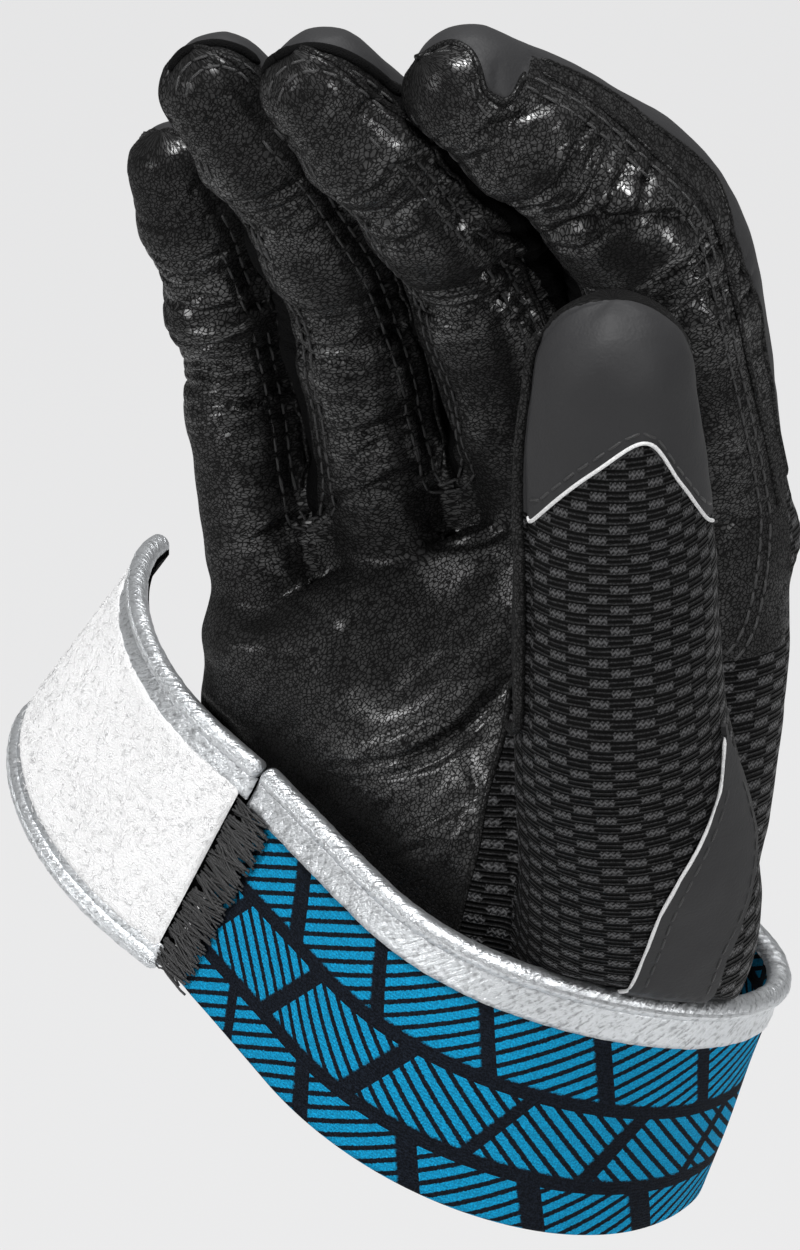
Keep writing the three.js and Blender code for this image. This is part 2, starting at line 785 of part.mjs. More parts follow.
// Closure strap on the back: it starts at the band's back end and stands a little open
const closureLow = (cuffHeight - closureHeight) / 2;
const closureHinge = plan(0);
const closureCore = cuffThickness - hookPadThickness / 2;
const closureSwing = Math.hypot(closureCore, closureCore) / 2;
const closurePivot = point(
  closureHinge.x - closureSwing - seamGap / 2,
  closureHinge.y + backFlare / 2 - cuffThickness / 2,
  0,
);
const closure = new THREE.Group();
closure.position.copy(closurePivot);
closure.rotation.z = radians(180 - closureOpenTurn);
cuff.add(closure);
const slab = (x0, x1, y0, y1, z0, z1) => {
  const g = new THREE.BoxGeometry(x1 - x0, y1 - y0, z1 - z0);
  g.translate((x0 + x1) / 2, (y0 + y1) / 2, (z0 + z1) / 2);
  return g;
};
const closureStart = -closureCore / 2;
const closureEnd = closureStart + closureLength;
const closureHigh = closureLow + closureHeight;
add(
  "closure_strap",
  slab(closureStart, closureEnd, -closureCore / 2, closureCore / 2, closureLow, closureHigh),
  looks.print,
  closure,
);
add(
  "hook_pad",
  slab(
    closureEnd * hookFromShare,
    closureEnd - hookInsetWidth,
    closureCore / 2 + seamGap,
    closureCore / 2 + seamGap + hookPadThickness,
    closureLow + hookInsetWidth,
    closureHigh - hookInsetWidth,
  ),
  looks.thread,
  closure,
);
add(
  "pull_tab",
  slab(
    closureEnd + seamGap,
    closureEnd + pullTabLength,
    -closureCore / 2,
    closureCore / 2,
    closureLow + pullTabInsetWidth,
    closureHigh - pullTabInsetWidth,
  ),
  looks.rubber,
  closure,
);

export default glove;
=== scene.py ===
"""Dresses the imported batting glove: leather, knit, bindings, print, stitching and the stage.

Shapes are worked out in millimetres with numpy and become Blender meshes in metres. The hand's outer
surface is one skin, grown from tubes and a palm, creased, and then cut along its seams into panels.
"""

import math
from functools import lru_cache

import bpy
import numpy as np
from bpy.props import FloatProperty, FloatVectorProperty, IntProperty, PointerProperty
from mathutils import Matrix, Vector, kdtree
from mathutils.bvhtree import BVHTree


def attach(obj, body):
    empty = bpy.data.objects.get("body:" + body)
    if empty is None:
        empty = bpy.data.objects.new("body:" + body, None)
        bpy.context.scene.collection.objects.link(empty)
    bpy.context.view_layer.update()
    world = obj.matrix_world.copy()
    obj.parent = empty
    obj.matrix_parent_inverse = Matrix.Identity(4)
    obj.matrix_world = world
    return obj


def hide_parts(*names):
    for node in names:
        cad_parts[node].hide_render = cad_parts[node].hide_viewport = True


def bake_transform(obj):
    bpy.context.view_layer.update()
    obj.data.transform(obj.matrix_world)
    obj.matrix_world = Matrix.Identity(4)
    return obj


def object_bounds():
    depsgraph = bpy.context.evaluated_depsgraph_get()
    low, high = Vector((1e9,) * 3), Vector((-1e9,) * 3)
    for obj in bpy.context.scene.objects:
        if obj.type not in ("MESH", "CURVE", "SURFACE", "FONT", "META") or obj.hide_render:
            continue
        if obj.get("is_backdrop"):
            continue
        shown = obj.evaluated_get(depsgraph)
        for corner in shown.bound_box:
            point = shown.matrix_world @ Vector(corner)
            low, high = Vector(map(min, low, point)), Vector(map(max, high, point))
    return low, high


bl_info = {
    "name": "Batting glove",
    "version": (1, 0, 0),
    "blender": (4, 5, 0),
    "location": "View3D > Sidebar > Glove",
    "description": "Builds a right-hand batting glove around its packed frame",
    "category": "Object",
}

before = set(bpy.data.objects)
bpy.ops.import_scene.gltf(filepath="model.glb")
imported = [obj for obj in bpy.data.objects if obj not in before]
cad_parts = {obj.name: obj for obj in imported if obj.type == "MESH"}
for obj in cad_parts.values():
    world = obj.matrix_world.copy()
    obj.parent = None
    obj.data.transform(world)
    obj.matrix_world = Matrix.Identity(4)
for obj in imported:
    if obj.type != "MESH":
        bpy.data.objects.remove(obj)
CAD_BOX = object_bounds()
MM = 0.001

# Sizes of the hand inside, in millimetres and degrees, as the frame has them
PALM_WIDTH, PALM_DEPTH, KNUCKLE_HEIGHT = 98, 34, 104
WRIST_WIDTH, WRIST_DEPTH, RIM_DEPTH = 84, 55, 7
LEATHER, CLOTH, OVERLAY = 1.4, 1.2, 0.9
FINGERS = ("pinky", "ring", "middle", "index")
DIGIT_SIZES = {
    "index": ((0.43, 0.465, 1.0), (44, 25, 20), (22, 43, 51), (1.5, -16.5, -26), (13, 13, 11.2, 9.2)),
    "middle": ((0.163, 0.385, 0.985), (44, 25, 19), (28, 45, 42), (-3, -3.5, -17.5), (11.6, 10.2, 9.8, 8.9)),
    "ring": ((-0.083, 0.25, 0.9), (41, 24, 20), (21, 31, 36), (1, -8, -16), (11.2, 9.7, 9.4, 8.6)),
    "pinky": ((-0.294, 0.065, 0.806), (35, 18, 16), (3, 21, 28), (-6, -2, -4), (9.8, 9.0, 8.5, 8.0)),
    "thumb": (
        (0.43, -0.115, 0.348), (48.3, 35.6, 21.4), (22.8, 14.5, 13.3), (7.3, 5.4, 6.2),
        (13, 19, 16.2, 14.6, 12),
    ),
}
FINGER_DEPTHS = (1.04, 1.1, 1.08, 1.04, 1.04)
THUMB_DEPTHS = (0.8, 0.72, 0.9, 0.95, 0.95, 0.95)
KNUCKLE_TURN, THUMB_TURN = 11, 210
THUMB_HEEL = (0.24, 0.04, 0.42)

# Cuff
CUFF_TILT = math.radians(26)
CUFF_HEIGHT, CUFF_THICKNESS, CUFF_EASE = 40, 2.2, 1.5
CUFF_AXIS = np.array([math.sin(CUFF_TILT), 0, math.cos(CUFF_TILT)])
CUFF_ACROSS = np.array([math.cos(CUFF_TILT), 0, -math.sin(CUFF_TILT)])
CUFF_DEPTH = WRIST_DEPTH + 2 * CUFF_EASE
WRIST_CENTRE = (0.036 * WRIST_WIDTH, 0.11 * WRIST_DEPTH)
HEM_HEIGHT = 6
UP = np.array([0.0, 0.0, 1.0])


def unit(v):
    return v / np.maximum(np.linalg.norm(v, axis=-1, keepdims=True), 1e-12)


def smoothstep(a, b, x):
    t = np.clip((np.asarray(x, float) - a) / (b - a), 0, 1)
    return t * t * (3 - 2 * t)


def hump(x, width):
    """A smooth hill that is 1 at zero and falls off within the width."""
    return np.exp(-((x / width) ** 2))


def edge_padded(values):
    """Rows of values with one more at each end, in line with the last two."""
    return np.concatenate([[2 * values[0] - values[1]], values, [2 * values[-1] - values[-2]]])


def curved(a, b, c, d, f):
    """The Catmull-Rom value a share f of the way from b to c, with a before them and d after."""
    return b + 0.5 * f * (c - a + f * (2 * a - 5 * b + 4 * c - d + f * (3 * (b - c) + d - a)))


def smooth_value(values, t):
    """Catmull-Rom interpolation of rows of values at whole steps of t."""
    values, t = np.asarray(values, float), np.asarray(t, float)
    pad = edge_padded(values)
    i = np.clip(np.floor(t).astype(int), 0, len(values) - 2)
    f = (t - i).reshape(t.shape + (1,) * (values.ndim - 1))
    return curved(*(pad[i + k] for k in range(4)), f)


def smooth_line(points, count):
    """A smooth line of this many places through a few points."""
    return smooth_value(points, np.linspace(0, len(points) - 1, count))


def noise(p, seed=0):
    """Smooth value noise from -1 to 1 at points with two or three coordinates."""
    p = np.asarray(p, float)
    cell = np.floor(p).astype(np.int64)
    f = p - cell
    w = f * f * (3 - 2 * f)
    total = np.zeros(len(p))
    primes = np.array([73856093, 19349663, 83492791])[: p.shape[1]]
    for corner in range(2 ** p.shape[1]):
        bits = np.array([(corner >> k) & 1 for k in range(p.shape[1])])
        h = ((cell + bits) * primes).sum(1) + seed * 2654435761
        h = (h ^ (h >> 13)) * 1274126177 & 0xFFFFFFFF
        h = (h ^ (h >> 16)) & 0xFFFF
        total += (h / 32767.5 - 1) * np.prod(np.where(bits, w, 1 - w), axis=1)
    return total


def noise_over(x, y, seed):
    """Noise over two coordinates, in the shape of x."""
    x, y = np.broadcast_arrays(np.asarray(x, float), y)
    return noise(np.stack([x.ravel(), y.ravel()], 1), seed).reshape(x.shape)


def run_along(path):
    """Millimetres run at each point of a path."""
    return np.concatenate([[0], np.cumsum(np.linalg.norm(np.diff(path, axis=0), axis=1))])


class Digit:
    """A finger or thumb: its centre line, its frame and its skin at t, where whole t are joints."""

    def __init__(self, name):
        shares, lengths, flexes, leans, halves = DIGIT_SIZES[name]
        is_thumb = name == "thumb"
        end = np.array(shares) * (PALM_WIDTH, PALM_DEPTH, KNUCKLE_HEIGHT)
        heel = in_cuff(THUMB_HEEL[0] * WRIST_WIDTH, THUMB_HEEL[1] * WRIST_DEPTH, THUMB_HEEL[2] * CUFF_HEIGHT)
        joints = [heel, end] if is_thumb else [end]
        for length, flex, lean in zip(lengths, np.radians(flexes), np.radians(leans)):
            upright = math.cos(lean)
            way = np.array([math.sin(lean), -upright * math.sin(flex), upright * math.cos(flex)])
            end = end + way * length
            joints.append(end)
        joints.append(end + way * halves[-1])
        self.name = name
        self.joints = np.array(joints)
        self.halves = np.array([*halves, halves[-1]], float)
        self.depths = np.array(THUMB_DEPTHS if is_thumb else FINGER_DEPTHS, float)
        turn = math.radians(THUMB_TURN if is_thumb else KNUCKLE_TURN)
        self.lateral = np.array([math.cos(turn), math.sin(turn), 0])
        self.last = len(joints) - 1
        self.tip = self.last - 1
        self.fine = np.linspace(0 if is_thumb else -0.6, self.last, 260)
        self.run = run_along(self.frame(self.fine)[0])
        self.run -= self.run_at(2 if is_thumb else 0)

    def run_at(self, t):
        """Millimetres along the centre line at t."""
        return np.interp(t, self.fine, self.run)

    def frame(self, t):
        """Centre, ways along, to the thumb side and back, half width and depth share at t."""
        t = np.asarray(t, float)
        step = 0.01
        centre = smooth_value(self.joints, t)
        along = unit(smooth_value(self.joints, t + step) - smooth_value(self.joints, t - step))
        side = unit(self.lateral - along * (along @ self.lateral)[..., None])
        back = np.cross(along, side)
        return centre, along, side, back, smooth_value(self.halves, t), smooth_value(self.depths, t)

    def skin(self, t, angle, grow=0.0):
        """Points of the skin and the outward ways there; angle 0 is the thumb side, 90 the back."""
        t, angle = np.broadcast_arrays(np.asarray(t, float), np.radians(angle))
        centre, along, side, back, half, depth = self.frame(t)
        past = np.maximum(t - self.tip, 0)
        half = (half + grow) * np.sqrt(np.maximum(1 - (past * 0.97) ** 2, 0))
        out = side * np.cos(angle)[..., None] + back * (np.sin(angle) / depth)[..., None]
        out = unit(unit(out) + along * (past * 1.6)[..., None])
        return hoop(centre, side, back, half * np.cos(angle), half * depth * np.sin(angle)), out

    def locate(self, p):
        """For points p: t, angle in degrees, and distance as a share of the skin's."""
        centre, along, side, back, half, depth = self.frame(self.fine)
        stretch = np.gradient(self.run, self.fine)
        out = []
        for some in np.array_split(p, max(len(p) // 8000, 1)):
            gap = ((some[:, None] - centre[None]) ** 2).sum(2)
            i = gap.argmin(1)
            d = some - centre[i]
            t = np.clip(self.fine[i] + (d * along[i]).sum(1) / stretch[i], self.fine[0], self.last)
            c, a, s, b, h, q = self.frame(np.minimum(t, self.tip))
            d = some - c
            over = np.maximum((d * a).sum(1), 0) * (t > self.tip)
            x, y = (d * s).sum(1), (d * b).sum(1) / q
            out.append(np.stack([t, np.degrees(np.arctan2(y, x)), np.sqrt(x * x + y * y + over**2) / h], 1))
        return np.concatenate(out).T


def hoop(centre, side, back, wide, tall):
    """Points this far from a centre along its two ways."""
    return centre + side * wide[..., None] + back * tall[..., None]


def in_cuff(across, deep, high):
    """Places in the cuff's own tilted frame, as places of the glove."""
    places = (np.asarray(v, float)[..., None] for v in (across, deep, high))
    across, deep, high = np.broadcast_arrays(*places)
    return across * CUFF_ACROSS + deep * np.array([0, 1, 0]) + high * CUFF_AXIS


@lru_cache(None)
def digit(name):
    return Digit(name)


# Palm: four core lines rolled into one skin, as shares across, deep, high (MID_PALM only) and half
HEM = ((-0.18, 0.09, 0.36), (-0.06, 0.11, 0.42), (0.11, 0.12, 0.42), (0.31, 0.22, 0.23))
CUFF_TOP = ((-0.57, 0.12, 0.262), (-0.15, 0.11, 0.35), (0.095, 0.14, 0.395), (0.262, 0.24, 0.23))
MID_PALM = (
    (-0.24, 0.06, 0.71, 0.47), (-0.055, 0.17, 0.69, 0.47), (0.17, 0.3, 0.68, 0.47), (0.4, 0.44, 0.66, 0.49),
)


@lru_cache(None)
def stations():
    """Rows of (x, y, z, half) for the four cores, from the hem to the knuckles."""
    rows = []
    for shares, high in ((HEM, HEM_HEIGHT), (CUFF_TOP, CUFF_HEIGHT)):
        rows.append([
            [*in_cuff(across * WRIST_WIDTH, deep * WRIST_DEPTH, high), half * WRIST_DEPTH]
            for across, deep, half in shares
        ])
    rows.append(np.array(MID_PALM) * (PALM_WIDTH, PALM_DEPTH, KNUCKLE_HEIGHT, PALM_DEPTH))
    knuckles = []
    for d in map(digit, FINGERS):
        grown = d.halves[0] * d.depths[0] + 0.4
        knuckles.append([*(d.joints[0] - UP * RIM_DEPTH), math.sqrt(grown**2 - RIM_DEPTH**2) + LEATHER])
    return np.array([*rows, knuckles])


def core_at(share, v):
    """(x, y, z, half) of the palm's core at a share across it, at v."""
    pad = edge_padded(np.moveaxis(smooth_value(stations(), np.asarray(v, float) * 3), -2, 0))
    share = np.asarray(share, float) * 3
    i = np.clip(np.floor(share).astype(int), 0, 2)
    cores = (np.take_along_axis(pad, (i + k)[None, ..., None], 0)[0] for k in range(4))
    return curved(*cores, (share - i)[..., None])


def palm_skin(u, v, grow=0.0):
    """u: 0-1 thumb side, 1-2 back, 2-3 little finger's side, 3-4 palm; v: 0 hem to 1 knuckles."""
    u, v = np.broadcast_arrays(np.mod(np.asarray(u, float), 4), np.asarray(v, float))
    sides = [u < 1, u < 2, u < 3]
    share = np.select(sides, [np.ones_like(u), 2 - u, np.zeros_like(u)], u - 3)
    angle = np.radians(np.select(sides, [180 * u - 90, np.full_like(u, 90.0), 180 * u - 270], 270.0))
    row = core_at(share, v)
    near = 1 - smoothstep(1 / 3, 2 / 3, v)
    along = unit(UP * (1 - near)[..., None] + CUFF_AXIS * near[..., None])
    across = core_at(np.ones_like(u), v)[..., :3] - core_at(np.zeros_like(u), v)[..., :3]
    side = unit(across - along * (across * along).sum(-1, keepdims=True))
    back = unit(np.cross(along, side))
    out = side * np.cos(angle)[..., None] + back * np.sin(angle)[..., None]
    return row[..., :3] + out * (row[..., 3] + grow)[..., None], out


# Meshes
def edges_of(tri):
    return np.concatenate([tri[:, [0, 1]], tri[:, [1, 2]], tri[:, [2, 0]]])


class Skin:
    """Triangles, with the place, the outward way and the named values of every vertex."""

    def __init__(self, co, tri, **values):
        self.co = np.asarray(co, float)
        self.tri = np.asarray(tri, np.int64).reshape(-1, 3)
        self.values = {k: np.asarray(v, float) for k, v in values.items()}

    def normals(self):
        a, b, c = (self.co[self.tri[:, k]] for k in range(3))
        face = np.cross(b - a, c - a)
        total = [sum(np.bincount(corner, way, len(self.co)) for corner in self.tri.T) for way in face.T]
        return unit(np.stack(total, 1))

    def compact(self, tri):
        """These triangles with only the vertices that they use."""
        used, index = np.unique(tri, return_inverse=True)
        return Skin(self.co[used], index.reshape(-1, 3), **{k: v[used] for k, v in self.values.items()})

    def cut(self, field):
        """The parts where field is above and below zero, with new vertices on the line between."""
        field = np.where(np.abs(field) < 1e-4, 1e-4, field)
        sign = field[self.tri] > 0
        count = sign.sum(1)
        mixed = self.tri[(count == 1) | (count == 2)]
        one_up = (field[mixed] > 0).sum(1) == 1
        lone = np.where(one_up, (field[mixed] > 0).argmax(1), (field[mixed] <= 0).argmax(1))
        m = np.take_along_axis(mixed, (lone[:, None] + np.arange(3)) % 3, 1)
        pairs = np.sort(np.concatenate([m[:, [0, 1]], m[:, [0, 2]]]), 1)
        edges, inverse = np.unique(pairs, axis=0, return_inverse=True)
        inverse = inverse.ravel()
        w = field[edges[:, 0]] / (field[edges[:, 0]] - field[edges[:, 1]])

        def lerp(x):
            share = w.reshape((-1,) + (1,) * (x.ndim - 1))
            return np.concatenate([x, x[edges[:, 0]] * (1 - share) + x[edges[:, 1]] * share])

        whole = Skin(lerp(self.co), self.tri, **{k: lerp(v) for k, v in self.values.items()})
        p, q = len(self.co) + inverse.reshape(2, -1)
        tips = np.stack([m[:, 0], p, q], 1)
        rest = np.stack([np.stack([p, m[:, 1], m[:, 2]], 1), np.stack([p, m[:, 2], q], 1)], 1)
        above = [self.tri[count == 3], tips[one_up], rest[~one_up].reshape(-1, 3)]
        below = [self.tri[count == 0], tips[~one_up], rest[one_up].reshape(-1, 3)]
        return whole.compact(np.concatenate(above)), whole.compact(np.concatenate(below))

    def shell(self, thickness, inner=None):
        """A closed sheet of this thickness below the skin, or down to the inner points."""
        out = unit(self.values["out"])
        inner = self.co - out * thickness if inner is None else inner
        n = len(self.co)
        edges = edges_of(self.tri)
        code = np.sort(edges, 1) @ np.array([n, 1])
        _, index, count = np.unique(code, return_index=True, return_counts=True)
        rim = edges[index[count == 1]]
        a, b = rim[:, 0], rim[:, 1]
        sides = np.concatenate([np.stack([b, a, a + n], 1), np.stack([b, a + n, b + n], 1)])
        tri = np.concatenate([self.tri, self.tri[:, ::-1] + n, sides])
        values = {k: np.concatenate([v, v]) for k, v in self.values.items()}
        shell = Skin(np.concatenate([self.co, inner]), tri, **values)
        corner = np.concatenate([out, -out])[tri]
        s, t, u = shell.co[sides.T]
        corner[2 * len(self.tri):] = unit(np.cross(t - s, u - s))[:, None]
        shell.corner = corner
        return shell


def grid_tri(rows, columns, wrap_columns=False):
    """Triangles over a grid of rows x columns points; row then column crosses outwards."""
    steps = np.arange(columns if wrap_columns else columns - 1)
    j, i = np.meshgrid(np.arange(rows - 1), steps, indexing="ij")
    a, b = j * columns + i, j * columns + (i + 1) % columns
    quads = np.stack([a, b, b + columns, a + columns], -1).reshape(-1, 4)
    return np.concatenate([quads[:, [0, 1, 2]], quads[:, [0, 2, 3]]])


def closed_tube(rings):
    """A solid through rings of points (k, n, 3), capped at both ends."""
    k, n, _ = rings.shape
    co = np.concatenate([rings.reshape(-1, 3), [rings[0].mean(0), rings[-1].mean(0)]])
    i = np.arange(n)
    low = np.stack([np.full(n, k * n), (i + 1) % n, i], 1)
    high = np.stack([np.full(n, k * n + 1), (k - 1) * n + i, (k - 1) * n + (i + 1) % n], 1)
    return co, np.concatenate([grid_tri(k, n, True), low, high])


def joined(meshes):
    """Several Skins as one; only values that all of them have are kept."""
    names = set.intersection(*(set(m.values) for m in meshes))
    base, tris = 0, []
    for m in meshes:
        tris.append(m.tri + base)
        base += len(m.co)
    values = {k: np.concatenate([m.values[k] for m in meshes]) for k in names}
    return Skin(np.concatenate([m.co for m in meshes]), np.concatenate(tris), **values)


def sweep(path, out, profile):
    """A profile of (up, across) points carried along a path; up follows the outward ways."""
    path, out = np.asarray(path, float), np.asarray(out, float)
    ahead = unit(np.gradient(path, axis=0))
    up = unit(out - ahead * (out * ahead).sum(1, keepdims=True))
    across = np.cross(ahead, up)
    profile = np.asarray(profile, float)
    if profile.ndim == 2:
        profile = np.broadcast_to(profile, (len(path), *profile.shape))
    rings = hoop(path[:, None], up[:, None], across[:, None], profile[..., 0], profile[..., 1])
    return Skin(*closed_tube(rings))


def ring_profile(radius, sides=8, flat=1.0):
    a = -np.linspace(0, 2 * np.pi, sides, endpoint=False)
    return np.stack([np.cos(a) * radius * flat, np.sin(a) * radius], 1)


def resample(path, step):
    """The same path in even steps of about this length."""
    path = np.asarray(path, float)
    run = run_along(path[:, :3])
    at = np.linspace(0, run[-1], max(int(round(run[-1] / step)), 2) + 1)
    return np.stack([np.interp(at, run, line) for line in path.T], 1)


# The hand's outer skin
def raw_hand():
    """Tubes, palm and webs as one overlapping body, a little small, for the remesh."""
    sizes = bpy.context.scene.glove_sizes
    shrink = -sizes.remesh_margin / MM
    around = np.linspace(0, 360, 48, endpoint=False)
    bodies = []
    for name in (*FINGERS, "thumb"):
        d = digit(name)
        first = 0 if name == "thumb" else -0.5
        ts = np.concatenate([np.linspace(first, d.tip, 60), d.tip + np.sin(np.linspace(0.1, np.pi / 2, 10))])
        bodies.append(closed_tube(d.skin(ts[:, None], around[None], shrink)[0]))
    us = np.linspace(0, 4, 128, endpoint=False)
    vs = np.linspace(-0.06, 1.02, 60)
    bodies.append(closed_tube(palm_skin(us[None], vs[:, None], shrink)[0]))
    for left, right in zip(FINGERS, FINGERS[1:]):
        bodies.append(web(digit(left), digit(right), shrink))
    bodies.extend(thenar_mound(shrink))
    return joined([Skin(*body) for body in bodies])


def thenar_mound(shrink):
    """Tubes between the thumb's line and the palm's middle, which fill the valley between them."""
    d = digit("thumb")
    ts = np.linspace(0, 1.98, 26)
    centre, along, side, back, half, depth = d.frame(ts)
    v = np.interp(centre @ UP, *np.array([(core_at(0.72, x)[2], x) for x in np.linspace(0, 0.9, 19)]).T)
    palm = core_at(np.full_like(v, 0.72), v)
    turn = np.linspace(0, 2 * np.pi, 40, endpoint=False)
    tubes = []
    for share, last in ((0.22, 1.98), (0.42, 1.86), (0.6, 1.72), (0.78, 1.55)):
        middle = centre * (1 - share) + palm[:, :3] * share
        size = (half * depth) * (1 - share) + (palm[:, 3] + 0.4) * share + shrink - 0.5
        size = size * np.sqrt(np.clip(1 - (ts / last) ** 6, 0.02, 1))
        keep = ts <= last
        wide, tall = size[:, None] * np.cos(turn), size[:, None] * np.sin(turn)
        rings = hoop(middle[:, None], side[:, None], back[:, None], wide, tall)
        tubes.append(closed_tube(rings[keep]))
    return tubes


def web(a, b, shrink):
    """The fold of leather between two finger roots."""
    ts = np.linspace(-0.35, 0.3, 16)
    ca, _, sa, ba, ha, _ = a.frame(ts)
    cb, _, _, _, hb, _ = b.frame(ts)
    centre = (ca + cb) / 2
    reach = np.linalg.norm(cb - ca, axis=1)[:, None] / 2
    tall = 0.62 * (ha + hb) / 2 * np.sqrt(np.clip(1 - ((ts + 0.35) / 0.68) ** 4, 0.02, 1)) + shrink
    turn = -np.linspace(0, 2 * np.pi, 20, endpoint=False)
    wide, tall = reach * np.cos(turn), tall[:, None] * np.sin(turn)
    return closed_tube(hoop(centre[:, None], -sa[:, None], ba[:, None], wide, tall))


def remeshed(body, step):
    """The overlapping body as one skin of even cells: its points and triangles."""
    mesh = bpy.data.meshes.new("hand_raw")
    mesh.from_pydata((body.co * MM).tolist(), [], body.tri.tolist())
    obj = bpy.data.objects.new("hand_raw", mesh)
    bpy.context.scene.collection.objects.link(obj)
    mod = obj.modifiers.new("remesh", "REMESH")
    mod.mode = "VOXEL"
    mod.voxel_size = step
    done = obj.evaluated_get(bpy.context.evaluated_depsgraph_get()).to_mesh()
    done.calc_loop_triangles()
    points = np.empty(len(done.vertices) * 3)
    done.vertices.foreach_get("co", points)
    faces = np.empty(len(done.loop_triangles) * 3, np.int32)
    done.loop_triangles.foreach_get("vertices", faces)
    bpy.data.objects.remove(obj)
    bpy.data.meshes.remove(mesh)
    return points.reshape(-1, 3) / MM, faces.reshape(-1, 3).astype(np.int64)


def relaxed(co, tri, rounds, share=None):
    """Taubin smoothing, stronger where share is 1."""
    edges = np.unique(np.sort(edges_of(tri), 1), axis=0)
    both = np.concatenate([edges, edges[:, ::-1]])
    count = np.bincount(both[:, 0], minlength=len(co))[:, None]
    weight = np.ones((len(co), 1)) if share is None else share[:, None]
    for k in range(rounds * 2):
        mean = np.stack([np.bincount(both[:, 0], line[both[:, 1]], len(co)) for line in co.T], 1) / count
        co = co + (mean - co) * (0.6 if k % 2 == 0 else -0.45) * weight
    return co


def split_once(co, tri):
    """Each triangle into four, with new points lifted towards a smooth surface."""
    normals = Skin(co, tri).normals()
    edges, inverse = np.unique(np.sort(edges_of(tri), 1), axis=0, return_inverse=True)
    a, b = co[edges[:, 0]], co[edges[:, 1]]
    na, nb = normals[edges[:, 0]], normals[edges[:, 1]]
    lift = ((b - a) * (na - nb)).sum(1, keepdims=True) / 8
    middle = (a + b) / 2 - unit(na + nb) * lift
    p, q, r = len(co) + inverse.reshape(3, -1)
    i, j, k = tri.T
    new = np.concatenate([np.stack(x, 1) for x in ((i, p, r), (p, j, q), (r, q, k), (p, q, r))])
    return np.concatenate([co, middle]), new


TAB_LENGTH = 67


def plan_runs():
    """The cuff's plan as (length, clockwise turn in degrees) runs, and the band's own length."""
    corner = 16
    face = CUFF_DEPTH - corner
    runs = [(21.0, 0.0), (corner * math.radians(90), 90.0), (face * math.radians(106), 106.0), (28.5, 0.0)]
    tab_turns = ((0.13, 0), (0.29, 24), (0.29, 22), (0.17, 14), (0.12, 20))
    tab = [(0.0, -8.0)] + [(TAB_LENGTH * share, turn) for share, turn in tab_turns]
    return runs + tab, sum(run for run, _ in runs)


PLAN, BAND_LENGTH = plan_runs()


def plan(s):
    """x, y and the outward way of the cuff's plan at distances s."""
    s = np.atleast_1d(np.asarray(s, float))
    x = np.full(s.shape, WRIST_CENTRE[0])
    y = np.full(s.shape, WRIST_CENTRE[1] + CUFF_DEPTH / 2)
    heading = np.zeros(s.shape)
    left = s.copy()
    for i, (run, turn) in enumerate(PLAN):
        active = (left > 0) | (i == 0)
        length = np.where(active, np.minimum(left, run) if i + 1 < len(PLAN) else left, 0.0)
        swing = np.where(active, np.radians(turn * length / run if run > 0 else turn), 0.0)
        safe = np.where(np.abs(swing) > 1e-9, swing, 1.0)
        chord = np.where(np.abs(swing) > 1e-9, 2 * length / safe * np.sin(safe / 2), length)
        x = x + chord * np.cos(heading - swing / 2)
        y = y + chord * np.sin(heading - swing / 2)
        heading = heading - swing
        left = left - length
    return x, y, -np.sin(heading), np.cos(heading)


def flare(s):
    """How far the cuff's lower edge stands out from its rim."""
    on_band = smooth_value([2.0, 6.0, 3.0], np.clip(2 * s / BAND_LENGTH, 0, 2))
    on_tab = 3 + (s - BAND_LENGTH) / TAB_LENGTH * 5
    return np.where(s < BAND_LENGTH, on_band, on_tab)


def rim_lift(s):
    """How much higher the band's rim stands in front of the thumb's root."""
    return 3.6 * hump(s - 0.5 * BAND_LENGTH, 0.2 * BAND_LENGTH)


def cuff_face(s, high, lift=0.0):
    """Points of the band's outer face, and the outward ways there, in the row frame."""
    s, high, lift = np.broadcast_arrays(*(np.asarray(x, float) for x in (s, high, lift)))
    x, y, ox, oy = plan(s.ravel())
    x, y, ox, oy = (v.reshape(s.shape) for v in (x, y, ox, oy))
    away = flare(s) * (1 - high / CUFF_HEIGHT) + lift
    tall = high * (1 + rim_lift(s) / CUFF_HEIGHT)
    return in_cuff(x + ox * away, y + oy * away, tall), in_cuff(ox, oy, 0 * ox)


def tuck_in_cuff(co):
    """Moves points near the cuff to its inner side, so that nothing of the hand shows through it."""
    across, deep, high = co @ CUFF_ACROSS, co[:, 1], co @ CUFF_AXIS
    s = np.linspace(0, BAND_LENGTH, 400)
    x, y, ox, oy = plan(s)
    near = np.where(high < CUFF_HEIGHT + 22)[0]
    moved = co.copy()
    for some in np.array_split(near, max(len(near) // 8000, 1)):
        d2 = (across[some, None] - x) ** 2 + (deep[some, None] - y) ** 2
        i = d2.argmin(1)
        out = (across[some] - x[i]) * ox[i] + (deep[some] - y[i]) * oy[i]
        above = np.maximum(high[some] - (CUFF_HEIGHT + rim_lift(s[i]) - 1.0), 0)
        room = -CUFF_THICKNESS - 1.6 + 1.25 * above
        push = np.minimum(room - out, 0) * smoothstep(0, 4, s[i])
        moved[some] += in_cuff(ox[i] * push, oy[i] * push, 0 * push)
    return moved


def heel_fill(co):
    """Fuller leather on the little finger's side above the cuff, and less of a knob at its root."""
    x, y = front_view(co)
    edge = np.interp(y, (-20, 0, 15), (-29.5, -31.0, -31.5))
    near = smoothstep(16, 2, x - edge) * (co[:, 1] < 45)
    out = 1.1 * hump(y - 2, 7) - 2.9 * hump(y + 15, 9)
    return FRONT[0] * (near * out)[:, None]


